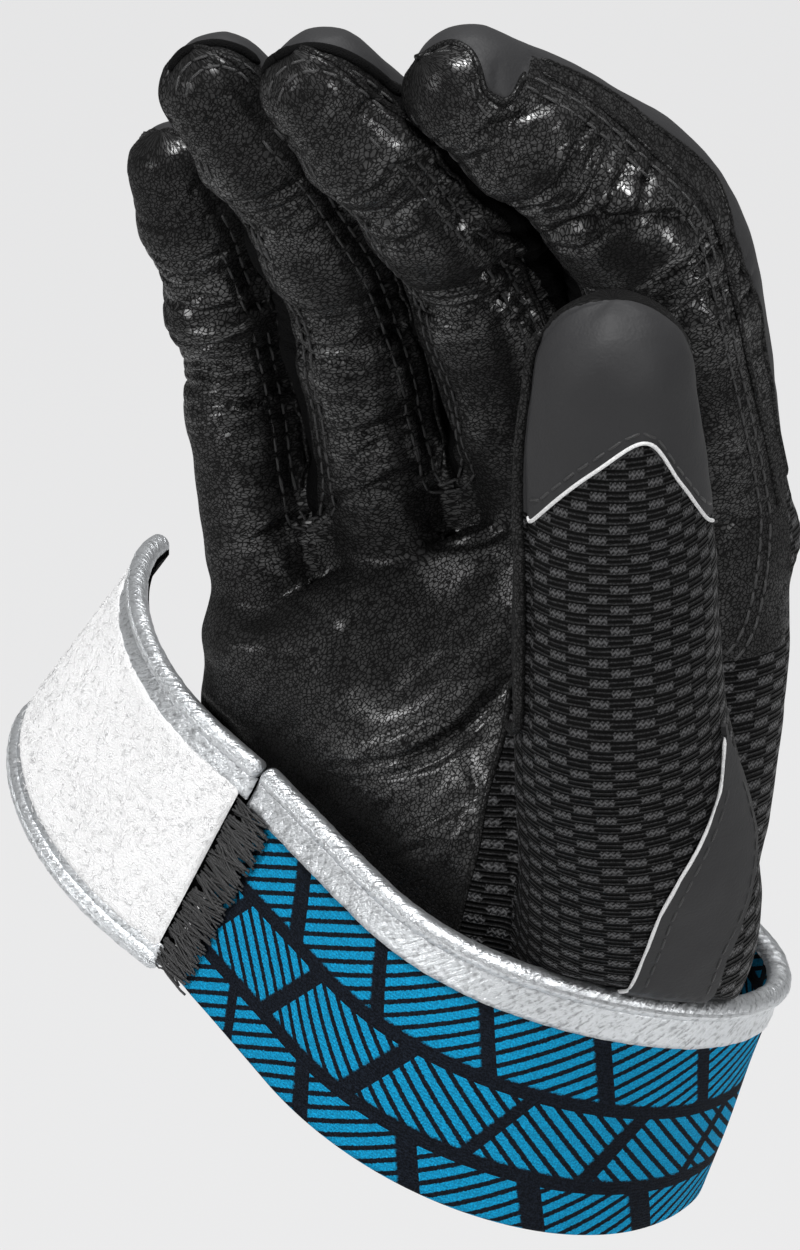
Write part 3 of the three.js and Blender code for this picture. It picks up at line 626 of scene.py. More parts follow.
@lru_cache(None)
def hand_skin():
    """The whole hand as one Skin, with where each vertex lies on every digit and on the palm."""
    sizes = bpy.context.scene.glove_sizes
    co, tri = remeshed(raw_hand(), sizes.remesh_step)
    co = relaxed(co, tri, 6)
    roots = [(digit(a).joints[0] + digit(b).joints[0]) / 2 + UP * 8 for a, b in zip(FINGERS, FINGERS[1:])]
    thumb_foot = digit("thumb").frame(1.2)[0]
    pinky_side = digit("pinky").skin(0.0, 190)[0]
    soft = np.zeros(len(co))
    for spot, size in [(r, 12.0) for r in roots] + [(thumb_foot, 26.0), (pinky_side, 16.0)]:
        soft = np.maximum(soft, np.exp(-(((co - spot) ** 2).sum(1)) / size**2))
    co = relaxed(co, tri, 18, soft)
    co = co + Skin(co, tri).normals() * sizes.remesh_margin / MM
    co = tuck_in_cuff(co + heel_fill(co))
    co = relaxed(co, tri, 2)
    co, tri = split_once(co, tri)
    return Skin(co, tri, **where(co))


def palm_grid():
    """A grid of places on the plain palm: u, v, the points, and their ways along u and along v."""
    us, vs = np.linspace(0, 4, 160, endpoint=False), np.linspace(-0.04, 1.03, 90)
    u, v = (g.ravel() for g in np.meshgrid(us, vs))
    step = 1e-3
    point, along_u, along_v = (palm_skin(u + du, v + dv)[0] for du, dv in ((0, 0), (step, 0), (0, step)))
    return u, v, point, (along_u - point) / step, (along_v - point) / step


def where(co):
    """Named places of each point: t, angle and distance on each digit, u and v on the palm."""
    found = {}
    for name in (*FINGERS, "thumb"):
        t, angle, rho = digit(name).locate(co)
        a = np.radians(angle)
        rows = {"t": t, "cos": np.cos(a), "sin": np.sin(a), "rho": rho}
        found.update({f"{name}_{key}": row for key, row in rows.items()})
    u, v, point, du, dv = palm_grid()
    tree = kdtree.KDTree(len(point))
    for k, p in enumerate(point):
        tree.insert(p, k)
    tree.balance()
    near = np.array([tree.find(p)[1] for p in co])
    d = co - point[near]
    fu = np.clip((d * du[near]).sum(1) / (du[near] ** 2).sum(1), -0.03, 0.03)
    fv = np.clip((d * dv[near]).sum(1) / (dv[near] ** 2).sum(1), -0.02, 0.02)
    turn = (u[near] + fu) * np.pi / 2
    out = unit(np.cross(du, dv))
    found.update({"u_cos": np.cos(turn), "u_sin": np.sin(turn), "v": v[near] + fv})
    found["palm_gap"] = (d * out[near]).sum(1)
    return found


def angle_of(skin, name):
    """Degrees round a digit, from -180 to 180."""
    return np.degrees(np.arctan2(skin.values[f"{name}_sin"], skin.values[f"{name}_cos"]))


def u_of(skin):
    return np.mod(np.arctan2(skin.values["u_sin"], skin.values["u_cos"]) * 2 / np.pi, 4)


# Seams, as lines of (t, angle) on a digit, and the fields that cut the skin along them
INDEX_SEAM = (
    (-0.6, 22), (-0.1, 16), (0.2, 4), (0.5, -3), (0.9, -8), (1.08, -6), (1.3, 18), (2.0, 30), (2.8, 34),
    (2.93, -30), (3.33, -27), (3.7, 5), (4.0, 40), (5.0, 80),
)
KNIT_EDGE = (
    (19.8, 10), (19.8, -0.8), (17.6, -10.2), (15.9, -19.6), (12.4, -35.8), (9.2, -49.2), (6.5, -60.5),
)
FRONT = np.array([[0.866, 0.5, 0], [-0.1545, 0.2676, 0.9511], [0.4755, -0.8236, 0.309]])
FRONT_EYE = np.array([-2.419, 74.19, 1000.0])
RADIAL_EDGE = ((-0.6, -14), (4, -14))
ULNAR_EDGE = ((-0.6, 212), (4, 212))
THUMB_ROLL = ((0, -75), (1.6, -75), (1.9, -5), (2.0, 24), (2.8, 24), (3.4, 6), (3.9, -2), (5, -4))
THUMB_ULNAR = ((0, 178), (5, 178))
THUMB_PIPING = ((-60, 3.02), (33, 3.05), (73, 3.46), (110, 3.72), (134, 3.33), (157, 3.0), (200, 2.9))
FLASH_LEFT = ((1.91, 157), (1.74, 145), (1.61, 127), (1.5, 111), (1.37, 99), (1.2, 91), (1.0, 85), (0.7, 80))
FLASH_RIGHT = (
    (1.91, 160), (1.7, 170), (1.58, 173), (1.45, 170), (1.35, 158), (1.22, 141), (1.1, 131), (0.7, 122),
)
PALM_SEAMS = {"ulnar": 2.4, "palmar": 3.93, "radial": 0.86, "side": 0.78, "index_edge": 0.55, "wrist": 0.35}
VENT = (1.4, 1.8)
YOKE = (1.0, 2.2, 0.8, 0.97)
BADGE = (1.06, 1.34, 0.84, 0.93)
THUMB_HINGE = 1.96
CAP_FROM = {"pinky": 2.55, "ring": 2.55, "middle": 2.55, "index": 2.86}
TIP_WRAP = {"pinky": 0.2, "ring": -0.3, "middle": -0.42, "index": 0.0, "thumb": 0.03}


def front_view(co):
    """Places as a viewer a metre before the palm sees them, in millimetres right and up."""
    x, y, z = ((co @ FRONT.T) - FRONT_EYE).T
    return x * 1000 / -z, y * 1000 / -z


def knit_side(skin):
    """Millimetres to the thumb's side of the line where the knit meets the palm's leather."""
    x, y = front_view(skin.co)
    line = np.array(KNIT_EDGE[::-1])
    return (x - np.interp(y, line[:, 1], line[:, 0])) * 0.9


def along_line(line, t):
    line = np.array(sorted(line), float)
    return np.interp(t, line[:, 0], line[:, 1])


def past(skin, name, line):
    """Millimetres round a digit from a seam line, towards greater angles."""
    v = skin.values
    a = np.radians(along_line(line, v[f"{name}_t"]))
    turn = v[f"{name}_sin"] * np.cos(a) - v[f"{name}_cos"] * np.sin(a)
    half = smooth_value(digit(name).halves, np.clip(v[f"{name}_t"], 0, digit(name).tip))
    return turn * np.minimum(v[f"{name}_rho"], 1.2) * half


def dome(skin, name):
    """How far the front leather wraps over the very end of a digit; below zero, the cap wraps forward."""
    d = digit(name)
    return TIP_WRAP[name] * d.halves[-1] * smoothstep(d.tip - 0.7, d.tip + 0.4, skin.values[f"{name}_t"])


def round_palm(skin, u):
    """Millimetres round the palm from a line of constant u."""
    v = skin.values
    a = u * np.pi / 2
    return (v["u_sin"] * np.cos(a) - v["u_cos"] * np.sin(a)) * 22


def between(low, high):
    return np.minimum(low, -high)


def own(skin, name):
    """Above zero where a place belongs to this finger rather than to any other digit."""
    v = skin.values
    others = [v[f"{o}_rho"] for o in (*FINGERS, "thumb") if o != name]
    return np.minimum(np.minimum.reduce(others) - v[f"{name}_rho"], 1.35 - v[f"{name}_rho"])


def thumb_own(skin):
    v = skin.values
    return np.abs(v["palm_gap"]) - np.abs(v["thumb_rho"] - 1) * 16


JOINT_ROWS, TIP_JOINT_ROWS = (-6.2, -3.4, -1.3, 0.9, 3.1, 6.4), (-3.0, -0.5, 2.2)
THUMB_ROWS = (-3.3, -1.2, 0.9, 3.2)


def crease_rows(run, around, seed, depth, rows):
    """Wavy creases across a digit, at each of these distances from a joint."""
    total = np.zeros(len(run))
    for k, offset in enumerate(rows):
        wave = 1.1 * noise_over(around / 5.0, seed * 7.3 + k, seed)
        strength = np.maximum(0.55 + 0.75 * noise_over(around / 5.0, seed + k * 3.1, seed + 9), 0)
        total -= depth * strength * hump(run - offset - wave, 0.62)
    return total


def seam_lines(name):
    """The seams beside a finger's leather, each with the side on which the leather lies."""
    far = ((-0.6, 150), (4, 150)) if name == "pinky" else ULNAR_EDGE
    return (INDEX_SEAM if name == "index" else RADIAL_EDGE, -1), (far, 1)


def on_finger(skin, name):
    """1 on a finger's own skin, falling off away from it."""
    return smoothstep(1.3, 1.1, skin.values[f"{name}_rho"]) * (own(skin, name) > 0)


def beside_line(skin, name, line):
    """True on the half of a digit where a seam line runs."""
    return np.cos(np.radians(angle_of(skin, name) - along_line(line, skin.values[f"{name}_t"]))) > 0


def creasing(skin):
    """How wrinkled the leather is, from 0 to 1: at the joints and beside the sewn edges."""
    total = np.zeros(len(skin.co))
    for k, name in enumerate(FINGERS):
        d, t = digit(name), skin.values[f"{name}_t"]
        run = d.run_at(t)
        patchy = 0.75 + 0.5 * noise_over(run / 11, angle_of(skin, name) / 60, k + 90)
        creased = hump(run - d.run_at(1), 7.5) + hump(run - d.run_at(2), 7.5)
        for line, side in seam_lines(name):
            gap = past(skin, name, line) * side
            sewn = smoothstep(0.3, 1.5, gap) * smoothstep(9, 4.5, gap) * smoothstep(0.2, 0.6, t)
            creased += 0.7 * beside_line(skin, name, line) * sewn
        total += on_finger(skin, name) * patchy * creased
    return total + 0.16 * smoothstep(1.0, 0.9, skin.values["v"])


def relief(skin):
    """How far each place stands off the plain skin: creases, folds, seam edges and soft waves."""
    v, co = skin.values, skin.co
    lift = 0.16 * noise(co / 7.0, 3) + 0.10 * noise(co / 3.4, 5)
    for k, name in enumerate(FINGERS):
        d = digit(name)
        run, around = d.run_at(v[f"{name}_t"]), angle_of(skin, name) / 57.3 * 10
        folds = 0.22 * noise_over(run / 5.0, around / 16, k + 20)
        for joint, depth, rows in ((1, 1.0, JOINT_ROWS), (2, 0.95, JOINT_ROWS), (3, 0.4, TIP_JOINT_ROWS)):
            off = run - d.run_at(joint)
            folds += crease_rows(off, around, k * 5 + joint, depth, rows)
            folds += 0.85 * (hump(off - 9.5, 4.5) + hump(off + 9.5, 5))
        front = smoothstep(0.35, -0.35, v[f"{name}_sin"])
        lift += on_finger(skin, name) * (front * folds + seam_relief(skin, name))
    return lift + thumb_relief(skin) + palm_relief(skin) + fourchettes(skin)


def fourchettes(skin):
    """The cloth between fingers stands out until it nearly meets its neighbour."""
    v = skin.values
    lift = np.zeros(len(skin.co))
    for left, right, reach in zip(FINGERS, FINGERS[1:], (1.75, 2.0, 2.3)):
        for name, other, side in ((left, right, 1), (right, left, -1)):
            half = smooth_value(digit(other).halves, np.clip(v[f"{other}_t"], 0, digit(other).tip))
            gap = (v[f"{other}_rho"] - 1) * half
            facing = smoothstep(0.72, 0.95, v[f"{name}_cos"] * side)
            facing *= smoothstep(-0.42, -0.1, v[f"{name}_sin"])
            mine = (own(skin, name) > 0) * smoothstep(1.35, 1.2, v[f"{name}_rho"])
            t = v[f"{name}_t"]
            fade = smoothstep(reach + 0.5, reach - 0.3, t) * smoothstep(-0.2, 0.1, t)
            lift += mine * facing * fade * np.clip((gap - 0.5) / 2, 0, 3.4)
    return lift


def seam_relief(skin, name):
    """Beside each seam: the leather's raised edge, a groove, and two rows drawn in by their stitches."""
    lift = np.zeros(len(skin.co))
    for line, side in seam_lines(name):
        gap = past(skin, name, line) * side
        shape = 0.42 * hump(gap - 0.9, 0.8) - 0.38 * hump(gap + 0.35, 0.5)
        shape -= 0.2 * (hump(gap - 2.9, 0.45) + hump(gap - 5.2, 0.45))
        lift += (np.abs(gap) < 5) * beside_line(skin, name, line) * shape
    return smoothstep(-0.4, 0.1, skin.values[f"{name}_t"]) * lift


def thumb_relief(skin):
    """The thumb's seam groove, the creases of its front and the soft waves of its back."""
    v, d = skin.values, digit("thumb")
    angle, run = angle_of(skin, "thumb"), d.run_at(v["thumb_t"])
    lift = -0.5 * beside_line(skin, "thumb", THUMB_ROLL) * hump(past(skin, "thumb", THUMB_ROLL) - 1.6, 0.7)
    for joint in (2, 3):
        creases = crease_rows(run - d.run_at(joint), angle / 57.3 * 15, 40 + joint, 0.5, THUMB_ROWS)
        lift += smoothstep(0.1, -0.4, v["thumb_sin"]) * creases
    lift += smoothstep(0.1, 0.6, v["thumb_sin"]) * 0.35 * noise_over(run / 9.0, angle / 40, 50)
    return smoothstep(1.25, 1.08, v["thumb_rho"]) * (thumb_own(skin) > 0) * lift


# Folds as points of the front view and a depth, and ridges as points, a half width and a height
FRONT_FOLDS = (
    ((333, 767), (380, 762), (423, 750), (470, 722), (512, 678), 0.95),
    ((345, 780), (400, 772), (450, 752), (505, 700), 0.6),
    ((352, 742), (420, 722), (470, 690), (515, 650), 0.35),
    ((240, 547), (272, 530), (307, 515), (340, 498), 0.8),
    ((238, 556), (262, 548), (285, 540), 0.45),
    ((345, 495), (380, 484), (417, 473), (470, 468), 0.6),
    ((430, 547), (460, 545), (483, 540), (517, 520), 0.5),
    ((400, 838), (430, 822), (483, 795), 0.45),
    ((390, 860), (430, 842), (470, 815), 0.35),
    ((262, 560), (300, 600), (350, 640), 0.25),
    ((470, 760), (478, 800), (468, 850), 0.3),
    ((557, 227), (603, 217), (667, 213), (690, 228), 1.1),
    ((643, 287), (667, 273), (693, 253), (707, 237), 0.9),
    ((672, 320), (693, 303), (713, 290), 0.7),
    ((685, 352), (705, 340), (728, 326), 0.45),
    ((520, 200), (547, 213), (573, 207), (593, 187), 0.7),
    ((480, 133), (513, 120), (547, 103), 0.6),
    ((540, 157), (560, 140), (590, 120), 0.5),
    ((600, 190), (625, 178), (650, 180), 0.5),
    ((440, 150), (470, 160), (500, 150), 0.4),
    ((387, 167), (430, 160), (468, 186), 0.6),
    ((437, 203), (473, 194), (500, 200), 0.6),
    ((463, 236), (503, 230), (530, 233), 0.7),
    ((460, 277), (497, 267), (537, 253), 0.8),
    ((470, 312), (500, 300), (524, 292), 0.6),
    ((690, 470), (720, 455), (750, 450), 0.5),
    ((705, 540), (730, 520), (760, 515), 0.4),
    ((330, 432), (370, 428), (400, 415), (424, 405), 0.7),
    ((355, 460), (380, 440), (400, 436), 0.4),
    ((205, 405), (250, 398), (285, 380), (302, 368), 0.8),
    ((210, 436), (255, 418), (300, 402), 0.7),
    ((190, 345), (225, 340), (262, 322), 0.6),
    ((195, 322), (235, 308), (270, 298), 0.8),
)
FRONT_RIDGES = (
    ((350, 752), (400, 728), (450, 690), (500, 636), (530, 590), 4.4, 2.3),
    ((232, 455), (246, 490), (250, 530), 4.5, 1.5),
    ((330, 470), (345, 440), (352, 400), 3.5, 0.6),
    ((440, 470), (470, 440), (500, 420), 3.5, 1.1),
    ((470, 850), (495, 800), (505, 750), 3.5, 0.8),
    ((610, 175), (632, 205), (655, 200), 3.2, 1.2),
    ((645, 250), (672, 245), (690, 262), 2.8, 1.2),
    ((690, 310), (712, 322), (725, 345), 2.6, 0.8),
    ((715, 390), (728, 430), (738, 470), 2.8, 0.8),
    ((250, 640), (330, 610), (420, 560), 7.0, 0.6),
)
TIP_EDGES = {
    "ring": ((170, 70), (178, 58), (190, 49), (215, 44), (240, 50), (259, 63)),
    "middle": ((263, 77), (270, 63), (284, 53), (309, 47), (340, 53), (371, 70), (400, 95)),
}
TIP_ROWS = {
    "ring": (
        ((176, 92), (179, 76), (190, 62), (213, 55), (238, 60), (256, 74)),
        ((186, 98), (189, 82), (199, 71), (216, 65), (236, 70), (250, 83)),
    ),
    "middle": (
        ((268, 96), (273, 79), (286, 66), (309, 59), (338, 64), (368, 81), (395, 104)),
        ((278, 103), (283, 88), (293, 76), (311, 70), (336, 75), (362, 91), (386, 112)),
    ),
}


def front_points(points):
    """Points of a front view 800 wide and 1250 high, 6.2 of them to a millimetre, in front_view's terms."""
    return (np.array(points, float) - (400, 625)) / (6.2, -6.2)


def near_seen_line(points, x, y, reach):
    """The places near a line of the front view: which, how far off, at what share of it, on which side."""
    line = resample(smooth_line(front_points(points), 30), 0.5)
    low, high = line.min(0) - reach, line.max(0) + reach
    close = np.where((x > low[0]) & (x < high[0]) & (y > low[1]) & (y < high[1]))[0]
    apart = np.hypot(x[close, None] - line[:, 0], y[close, None] - line[:, 1])
    at = apart.argmin(1)
    return close, apart.min(1), at / len(line), np.sign(y[close] - line[at, 1])


def front_folds(skin):
    """The lift of the leather's folds, and how wrinkled it is beside them."""
    v = skin.values
    facing = smoothstep(0.02, 0.25, skin.normals() @ FRONT[2])
    on_thumb = (thumb_own(skin) > 0) * (v["thumb_rho"] < 1.3) * (v["thumb_t"] > 1.9)
    leather = facing * (1 - on_thumb) * np.maximum(smoothstep(8, 5, knit_side(skin)), v["v"] > 0.82)
    lift, strength = np.zeros(len(skin.co)), np.zeros(len(skin.co))
    some = np.where(leather > 0.01)[0]
    x, y = front_view(skin.co[some])
    wobble = 0.4 * noise_over(x / 5, y / 5, 61)
    for *points, depth in FRONT_FOLDS:
        close, gap, share, above = near_seen_line(points, x, y, 9)
        fade = np.sin(np.pi * np.clip(share, 0.04, 0.96)) ** 0.6
        fold = (0.45 + 0.25 * above) * hump(gap - 2.8, 2.0) - hump(gap + wobble[close], 0.75)
        lift[some[close]] += 1.25 * depth * fold * fade
        strength[some[close]] += depth * hump(gap, 5) * fade
    for *points, half, height in FRONT_RIDGES:
        close, gap, share, _ = near_seen_line(points, x, y, 3 * half)
        swell = height * np.sin(np.pi * np.clip(share, 0.1, 0.9)) * hump(gap, half)
        lift[some[close]] += swell
        strength[some[close]] += 0.42 * swell
    return leather * lift, leather * strength


def palm_relief(skin):
    """Soft slanting waves of the palm's leather."""
    v = skin.values
    facing = smoothstep(0.05, 0.3, skin.normals() @ FRONT[2])
    on_palm = facing * smoothstep(8, 5, knit_side(skin)) * smoothstep(6, 3, np.abs(v["palm_gap"]))
    on_palm *= smoothstep(1.01, 0.9, v["v"])
    x, y = front_view(skin.co)
    slant = np.stack([(x * 0.8 + y * 0.6) / 15, (y * 0.8 - x * 0.6) / 6.5], 1)
    return on_palm * (0.7 * noise(slant, 63) + 0.22 * noise(slant * 2.3, 64))


@lru_cache(None)
def dressed_skin():
    """The hand's skin with its relief and smooth outward ways."""
    skin = hand_skin()
    folds, strength = front_folds(skin)
    done = Skin(skin.co + skin.normals() * (relief(skin) + folds)[:, None], skin.tri, **skin.values)
    done.values["rest"] = skin.co
    done.values["crease"] = np.clip(creasing(skin) + strength, 0, 1) * smoothstep(0.3, 0.5, skin.values["v"])
    done.values["out"] = done.normals()
    return done


@lru_cache(None)
def skin_tree():
    skin = dressed_skin()
    return BVHTree.FromPolygons(skin.co.tolist(), skin.tri.tolist())


def on_skin(points, lift=0.0):
    """The nearest places on the dressed skin, and the outward ways there."""
    skin, tree = dressed_skin(), skin_tree()
    place, way = [], []
    for p in np.atleast_2d(points):
        spot, _, face, _ = tree.find_nearest(Vector(p))
        way.append(skin.values["out"][skin.tri[face]].mean(0))
        place.append(spot)
    way = unit(np.array(way))
    return np.array(place) + way * lift, way


def evened(path, out):
    """The same line with its small kinks taken out."""
    for _ in range(4):
        path[1:-1] = (path[:-2] + 2 * path[1:-1] + path[2:]) / 4
        out[1:-1] = (out[:-2] + 2 * out[1:-1] + out[2:]) / 4
    return path, unit(out)


def seen_path(points, step=0.7, lift=0.0):
    """A line of front-view points laid on the dressed skin."""
    flat = resample(smooth_line(front_points(points), 20 * len(points)), step)
    places = []
    for x, y in flat:
        way = FRONT[0] * x + FRONT[1] * y - FRONT[2] * 1000
        hit = skin_tree().ray_cast(Vector(FRONT_EYE @ FRONT), Vector(way))[0]
        if hit is not None:
            places.append(hit)
    return on_skin(np.array(places), lift)


def digit_path(name, line, step=0.8, shift=0.0, lift=0.0):
    """A line of (t, angle) laid on the dressed skin, moved round the digit by shift mm."""
    d, places = digit(name), np.arange(len(line))
    fine = np.linspace(0, len(line) - 1, 160)
    t, angle = (np.interp(fine, places, row) for row in np.array(line, float).T)
    half = smooth_value(d.halves, np.clip(t, 0, d.tip))
    points = d.skin(t, angle + np.degrees(shift / half))[0]
    return evened(*on_skin(resample(points, step), lift))


# Panels
@lru_cache(None)
def panels():
    """The dressed skin in its panels, by the name of the piece that each one is."""
    parts = {}
    rest = dressed_skin()
    rest = rest.cut(rest.co @ CUFF_AXIS - HEM_HEIGHT)[0]
    for name in FINGERS:
        t = rest.values[f"{name}_t"]
        finger, rest = rest.cut(np.minimum(own(rest, name) * 12, (t + 0.02) * 30))
        parts.update(finger_panels(name, finger))
    thumb, rest = rest.cut(thumb_own(rest))
    parts.update(thumb_panels(thumb))
    parts.update(palm_panels(rest))
    return parts


def finger_panels(name, skin):
    """A finger's cap, back, walls and front."""
    seam = INDEX_SEAM if name == "index" else ((-0.6, 24), (4, 24))
    turn = 150 if name == "pinky" else 156
    far = ((-0.6, turn), (4, turn))
    back, front = skin.cut(between(past(skin, name, seam), past(skin, name, far)) - dome(skin, name))
    cap, back = back.cut((back.values[f"{name}_t"] - CAP_FROM[name]) * 20)
    parts = {f"{name}_tip_cap": cap, f"{name}_back": back}
    for part, low, high, missing in (
        ("wall_ulnar", far, ULNAR_EDGE, "pinky"), ("wall_radial", RADIAL_EDGE, seam, "index")
    ):
        if name != missing:
            wall = between(past(front, name, low), past(front, name, high)) - abs(dome(front, name)) * 1.4
            parts[f"{name}_{part}"], front = front.cut(wall)
    parts[f"{name}_front"] = front
    return parts


def inside(skin, name, start, end):
    """Above zero between two seams, going round the digit from the first to the second."""
    t = skin.values[f"{name}_t"]
    wide = along_line(end, t) - along_line(start, t) > 180
    low, high = past(skin, name, start), -past(skin, name, end)
    return np.where(wide, np.maximum(low, high), np.minimum(low, high))


def behind_thumb(skin):
    return inside(skin, "thumb", THUMB_ROLL, THUMB_ULNAR) - dome(skin, "thumb")


def thumb_panels(skin):
    """The thumb's parts below and above its hinge."""
    upper, lower = skin.cut((skin.values["thumb_t"] - THUMB_HINGE) * 30)
    parts = {}
    parts["thenar_knit"], parts["thumb_web_leather"] = lower.cut(behind_thumb(lower))
    back, parts["thumb_front"] = upper.cut(behind_thumb(upper))
    edge = along_line(THUMB_PIPING, angle_of(back, "thumb"))
    parts["thumb_tip_cap"], parts["thumb_knit"] = back.cut((back.values["thumb_t"] - edge) * 20)
    return parts


def palm_panels(skin):
    knit = np.minimum(knit_side(skin), (0.74 - skin.values["v"]) * 100)
    knit = np.minimum(knit, round_palm(skin, 3.0))
    edge = np.minimum(-round_palm(skin, PALM_SEAMS["palmar"]), -knit)
    leather, rest = skin.cut(np.minimum(round_palm(skin, PALM_SEAMS["ulnar"]), edge))
    side, back = rest.cut(between(round_palm(rest, 3.0), round_palm(rest, PALM_SEAMS["radial"])))
    low = (side.values["v"] - PALM_SEAMS["side"]) * 100
    far = -round_palm(side, PALM_SEAMS["index_edge"])
    round_off = 6.0 - np.hypot(np.maximum(6.0 - low, 0), np.maximum(6.0 - far, 0))
    index_side, wrist_side = side.cut(np.minimum(np.minimum(low, far), round_off))
    hand_back, wrist = back.cut((back.values["v"] - PALM_SEAMS["wrist"]) * 100)
    radial, rest = wrist.cut(-round_palm(wrist, VENT[0]))
    gusset, ulnar = rest.cut(-round_palm(rest, VENT[1]))
    return {
        "palm_leather": leather,
        "index_side_leather": index_side,
        "wrist_side_knit": wrist_side,
        "hand_back_knit": hand_back,
        "wrist_back_radial": radial,
        "wrist_vent_gusset": gusset,
        "wrist_back_ulnar": ulnar,
    }


# Blender objects
def make(name, skin, material, cloth=None):
    """A mesh object from a Skin, in metres, with rest places and cloth coordinates for its material."""
    mesh = bpy.data.meshes.new(name)
    n, m = len(skin.co), len(skin.tri)
    mesh.vertices.add(n)
    mesh.vertices.foreach_set("co", (skin.co * MM).astype(np.float32).ravel())
    mesh.loops.add(3 * m)
    mesh.loops.foreach_set("vertex_index", skin.tri.astype(np.int32).ravel())
    mesh.polygons.add(m)
    mesh.polygons.foreach_set("loop_start", np.arange(0, 3 * m, 3, dtype=np.int32))
    mesh.update(calc_edges=True)
    mesh.polygons.foreach_set("use_smooth", np.ones(m, bool))
    rest = skin.values.get("rest", skin.co)
    cloth = skin.values.get("cloth", rest) if cloth is None else cloth
    for key, value in (("rest", rest), ("cloth", cloth)):
        layer = mesh.attributes.new(key, "FLOAT_VECTOR", "POINT")
        layer.data.foreach_set("vector", np.ascontiguousarray(value, np.float32).ravel())
    if "crease" in skin.values:
        layer = mesh.attributes.new("crease", "FLOAT", "POINT")
        layer.data.foreach_set("value", skin.values["crease"].astype(np.float32))
    corner = getattr(skin, "corner", None)
    if corner is not None:
        mesh.normals_split_custom_set(corner.reshape(-1, 3).tolist())
    mesh.materials.append(material)
    obj = bpy.data.objects.new(name, mesh)
    bpy.context.scene.collection.objects.link(obj)
    return obj


def blend_digit(obj, name, start, end):
    """Bakes a piece's place into its mesh; the digit's centre line at the two places t is worked out but not
    used.
    """
    ends = (tuple(digit(name).frame(t)[0] * MM) for t in (start, end))
    next(ends)
    next(ends)
    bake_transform(obj)


def finger_blend(obj, name):
    blend_digit(obj, name, 0.25, 0.7)


def thumb_blend(obj):
    blend_digit(obj, "thumb", THUMB_HINGE + 0.01, 2.5)


def piece(name, skin, kind, node=None, cloth=None):
    """An object in one finish; it may stand for a CAD node, whose part is then hidden."""
    obj = make(name, skin, finish(kind), cloth)
    if node:
        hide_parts(node)
    return obj


# Materials
def add_node(tree, kind, settings=None, values=None):
    """A node of this kind: its settings first, then the values or links of its sockets."""
    node = tree.nodes.new(kind)
    for key, value in (settings or {}).items():
        setattr(node, key, value)
    for key, value in (values or {}).items():
        connect(tree, value, node.inputs[key])
    return node


def connect(tree, value, slot):
    if isinstance(value, Wire):
        tree.links.new(value.socket, slot)
    else:
        slot.default_value = value


def operator(operation, reflected=False):
    """A method that makes a Math node of two values; reflected puts the other one first."""

    def apply(self, other):
        return maths(self.tree, operation, *((other, self) if reflected else (self, other)))

    return apply


class Wire:
    """A socket in a shader on which plain arithmetic makes Math nodes."""

    def __init__(self, tree, socket):
        self.tree, self.socket = tree, socket

    def math(self, operation, *others):
        return maths(self.tree, operation, self, *others)

    __add__, __radd__ = operator("ADD"), operator("ADD", True)
    __sub__, __rsub__ = operator("SUBTRACT"), operator("SUBTRACT", True)
    __mul__, __rmul__ = operator("MULTIPLY"), operator("MULTIPLY", True)
    __truediv__, __rtruediv__ = operator("DIVIDE"), operator("DIVIDE", True)


def maths(tree, operation, *values):
    node = add_node(tree, "ShaderNodeMath", {"operation": operation}, dict(enumerate(values)))
    return Wire(tree, node.outputs[0])


class Finish:
    """A material with one Principled shader, whose fixed values are set by socket name."""

    def __init__(self, name, colour, **fixed):
        self.material = bpy.data.materials.new(name)
        self.material.use_nodes = True
        self.tree = self.material.node_tree
        self.shader = self.tree.nodes["Principled BSDF"]
        self.material.diffuse_color = (*colour, 1)
        self.set("Base Color", (*colour, 1))
        for key, value in fixed.items():
            self.set(key.replace("_", " "), value)

    def set(self, key, value):
        connect(self.tree, value, self.shader.inputs[key])

    def node(self, kind, settings=None, values=None, out=0):
        return Wire(self.tree, add_node(self.tree, kind, settings, values).outputs[out])

    def place(self, layer="rest", out="Vector"):
        return self.node("ShaderNodeAttribute", {"attribute_name": layer}, out=out)

    def parts(self, vector):
        sockets = add_node(self.tree, "ShaderNodeSeparateXYZ", None, {0: vector}).outputs
        return [Wire(self.tree, socket) for socket in sockets]

    def joined(self, x, y, z):
        return self.node("ShaderNodeCombineXYZ", None, {0: x, 1: y, 2: z})

    def noise(self, vector, scale, detail=2.0, rough=0.5):
        values = {"Vector": vector, "Scale": scale, "Detail": detail, "Roughness": rough}
        return self.node("ShaderNodeTexNoise", None, values)

    def cells(self, vector, scale, feature="F1"):
        values = {"Vector": vector, "Scale": scale}
        return self.node("ShaderNodeTexVoronoi", {"feature": feature}, values, "Distance")

    def steps(self, value, low, high, to_low=0.0, to_high=1.0):
        values = {"Value": value, "From Min": low, "From Max": high, "To Min": to_low, "To Max": to_high}
        return self.node("ShaderNodeMapRange", {"interpolation_type": "SMOOTHSTEP"}, values)

    def mix(self, share, low, high):
        """Low where share is 0 and high where it is 1; each is a colour or a Wire."""
        low, high = (value if isinstance(value, Wire) else (*value, 1) for value in (low, high))
        return self.node("ShaderNodeMix", {"data_type": "RGBA"}, {0: share, 6: low, 7: high}, 2)

    def bump(self, height, distance, strength=1.0):
        values = {"Height": height, "Distance": distance, "Strength": strength}
        self.set("Normal", self.node("ShaderNodeBump", None, values))


def wave(wire, period):
    return (wire * (2 * math.pi / period)).math("SINE")


def colour(name, share=1.0):
    """One of the glove's colours, made darker or lighter by a share."""
    return tuple(share * c for c in getattr(bpy.context.scene.glove_colours, name))


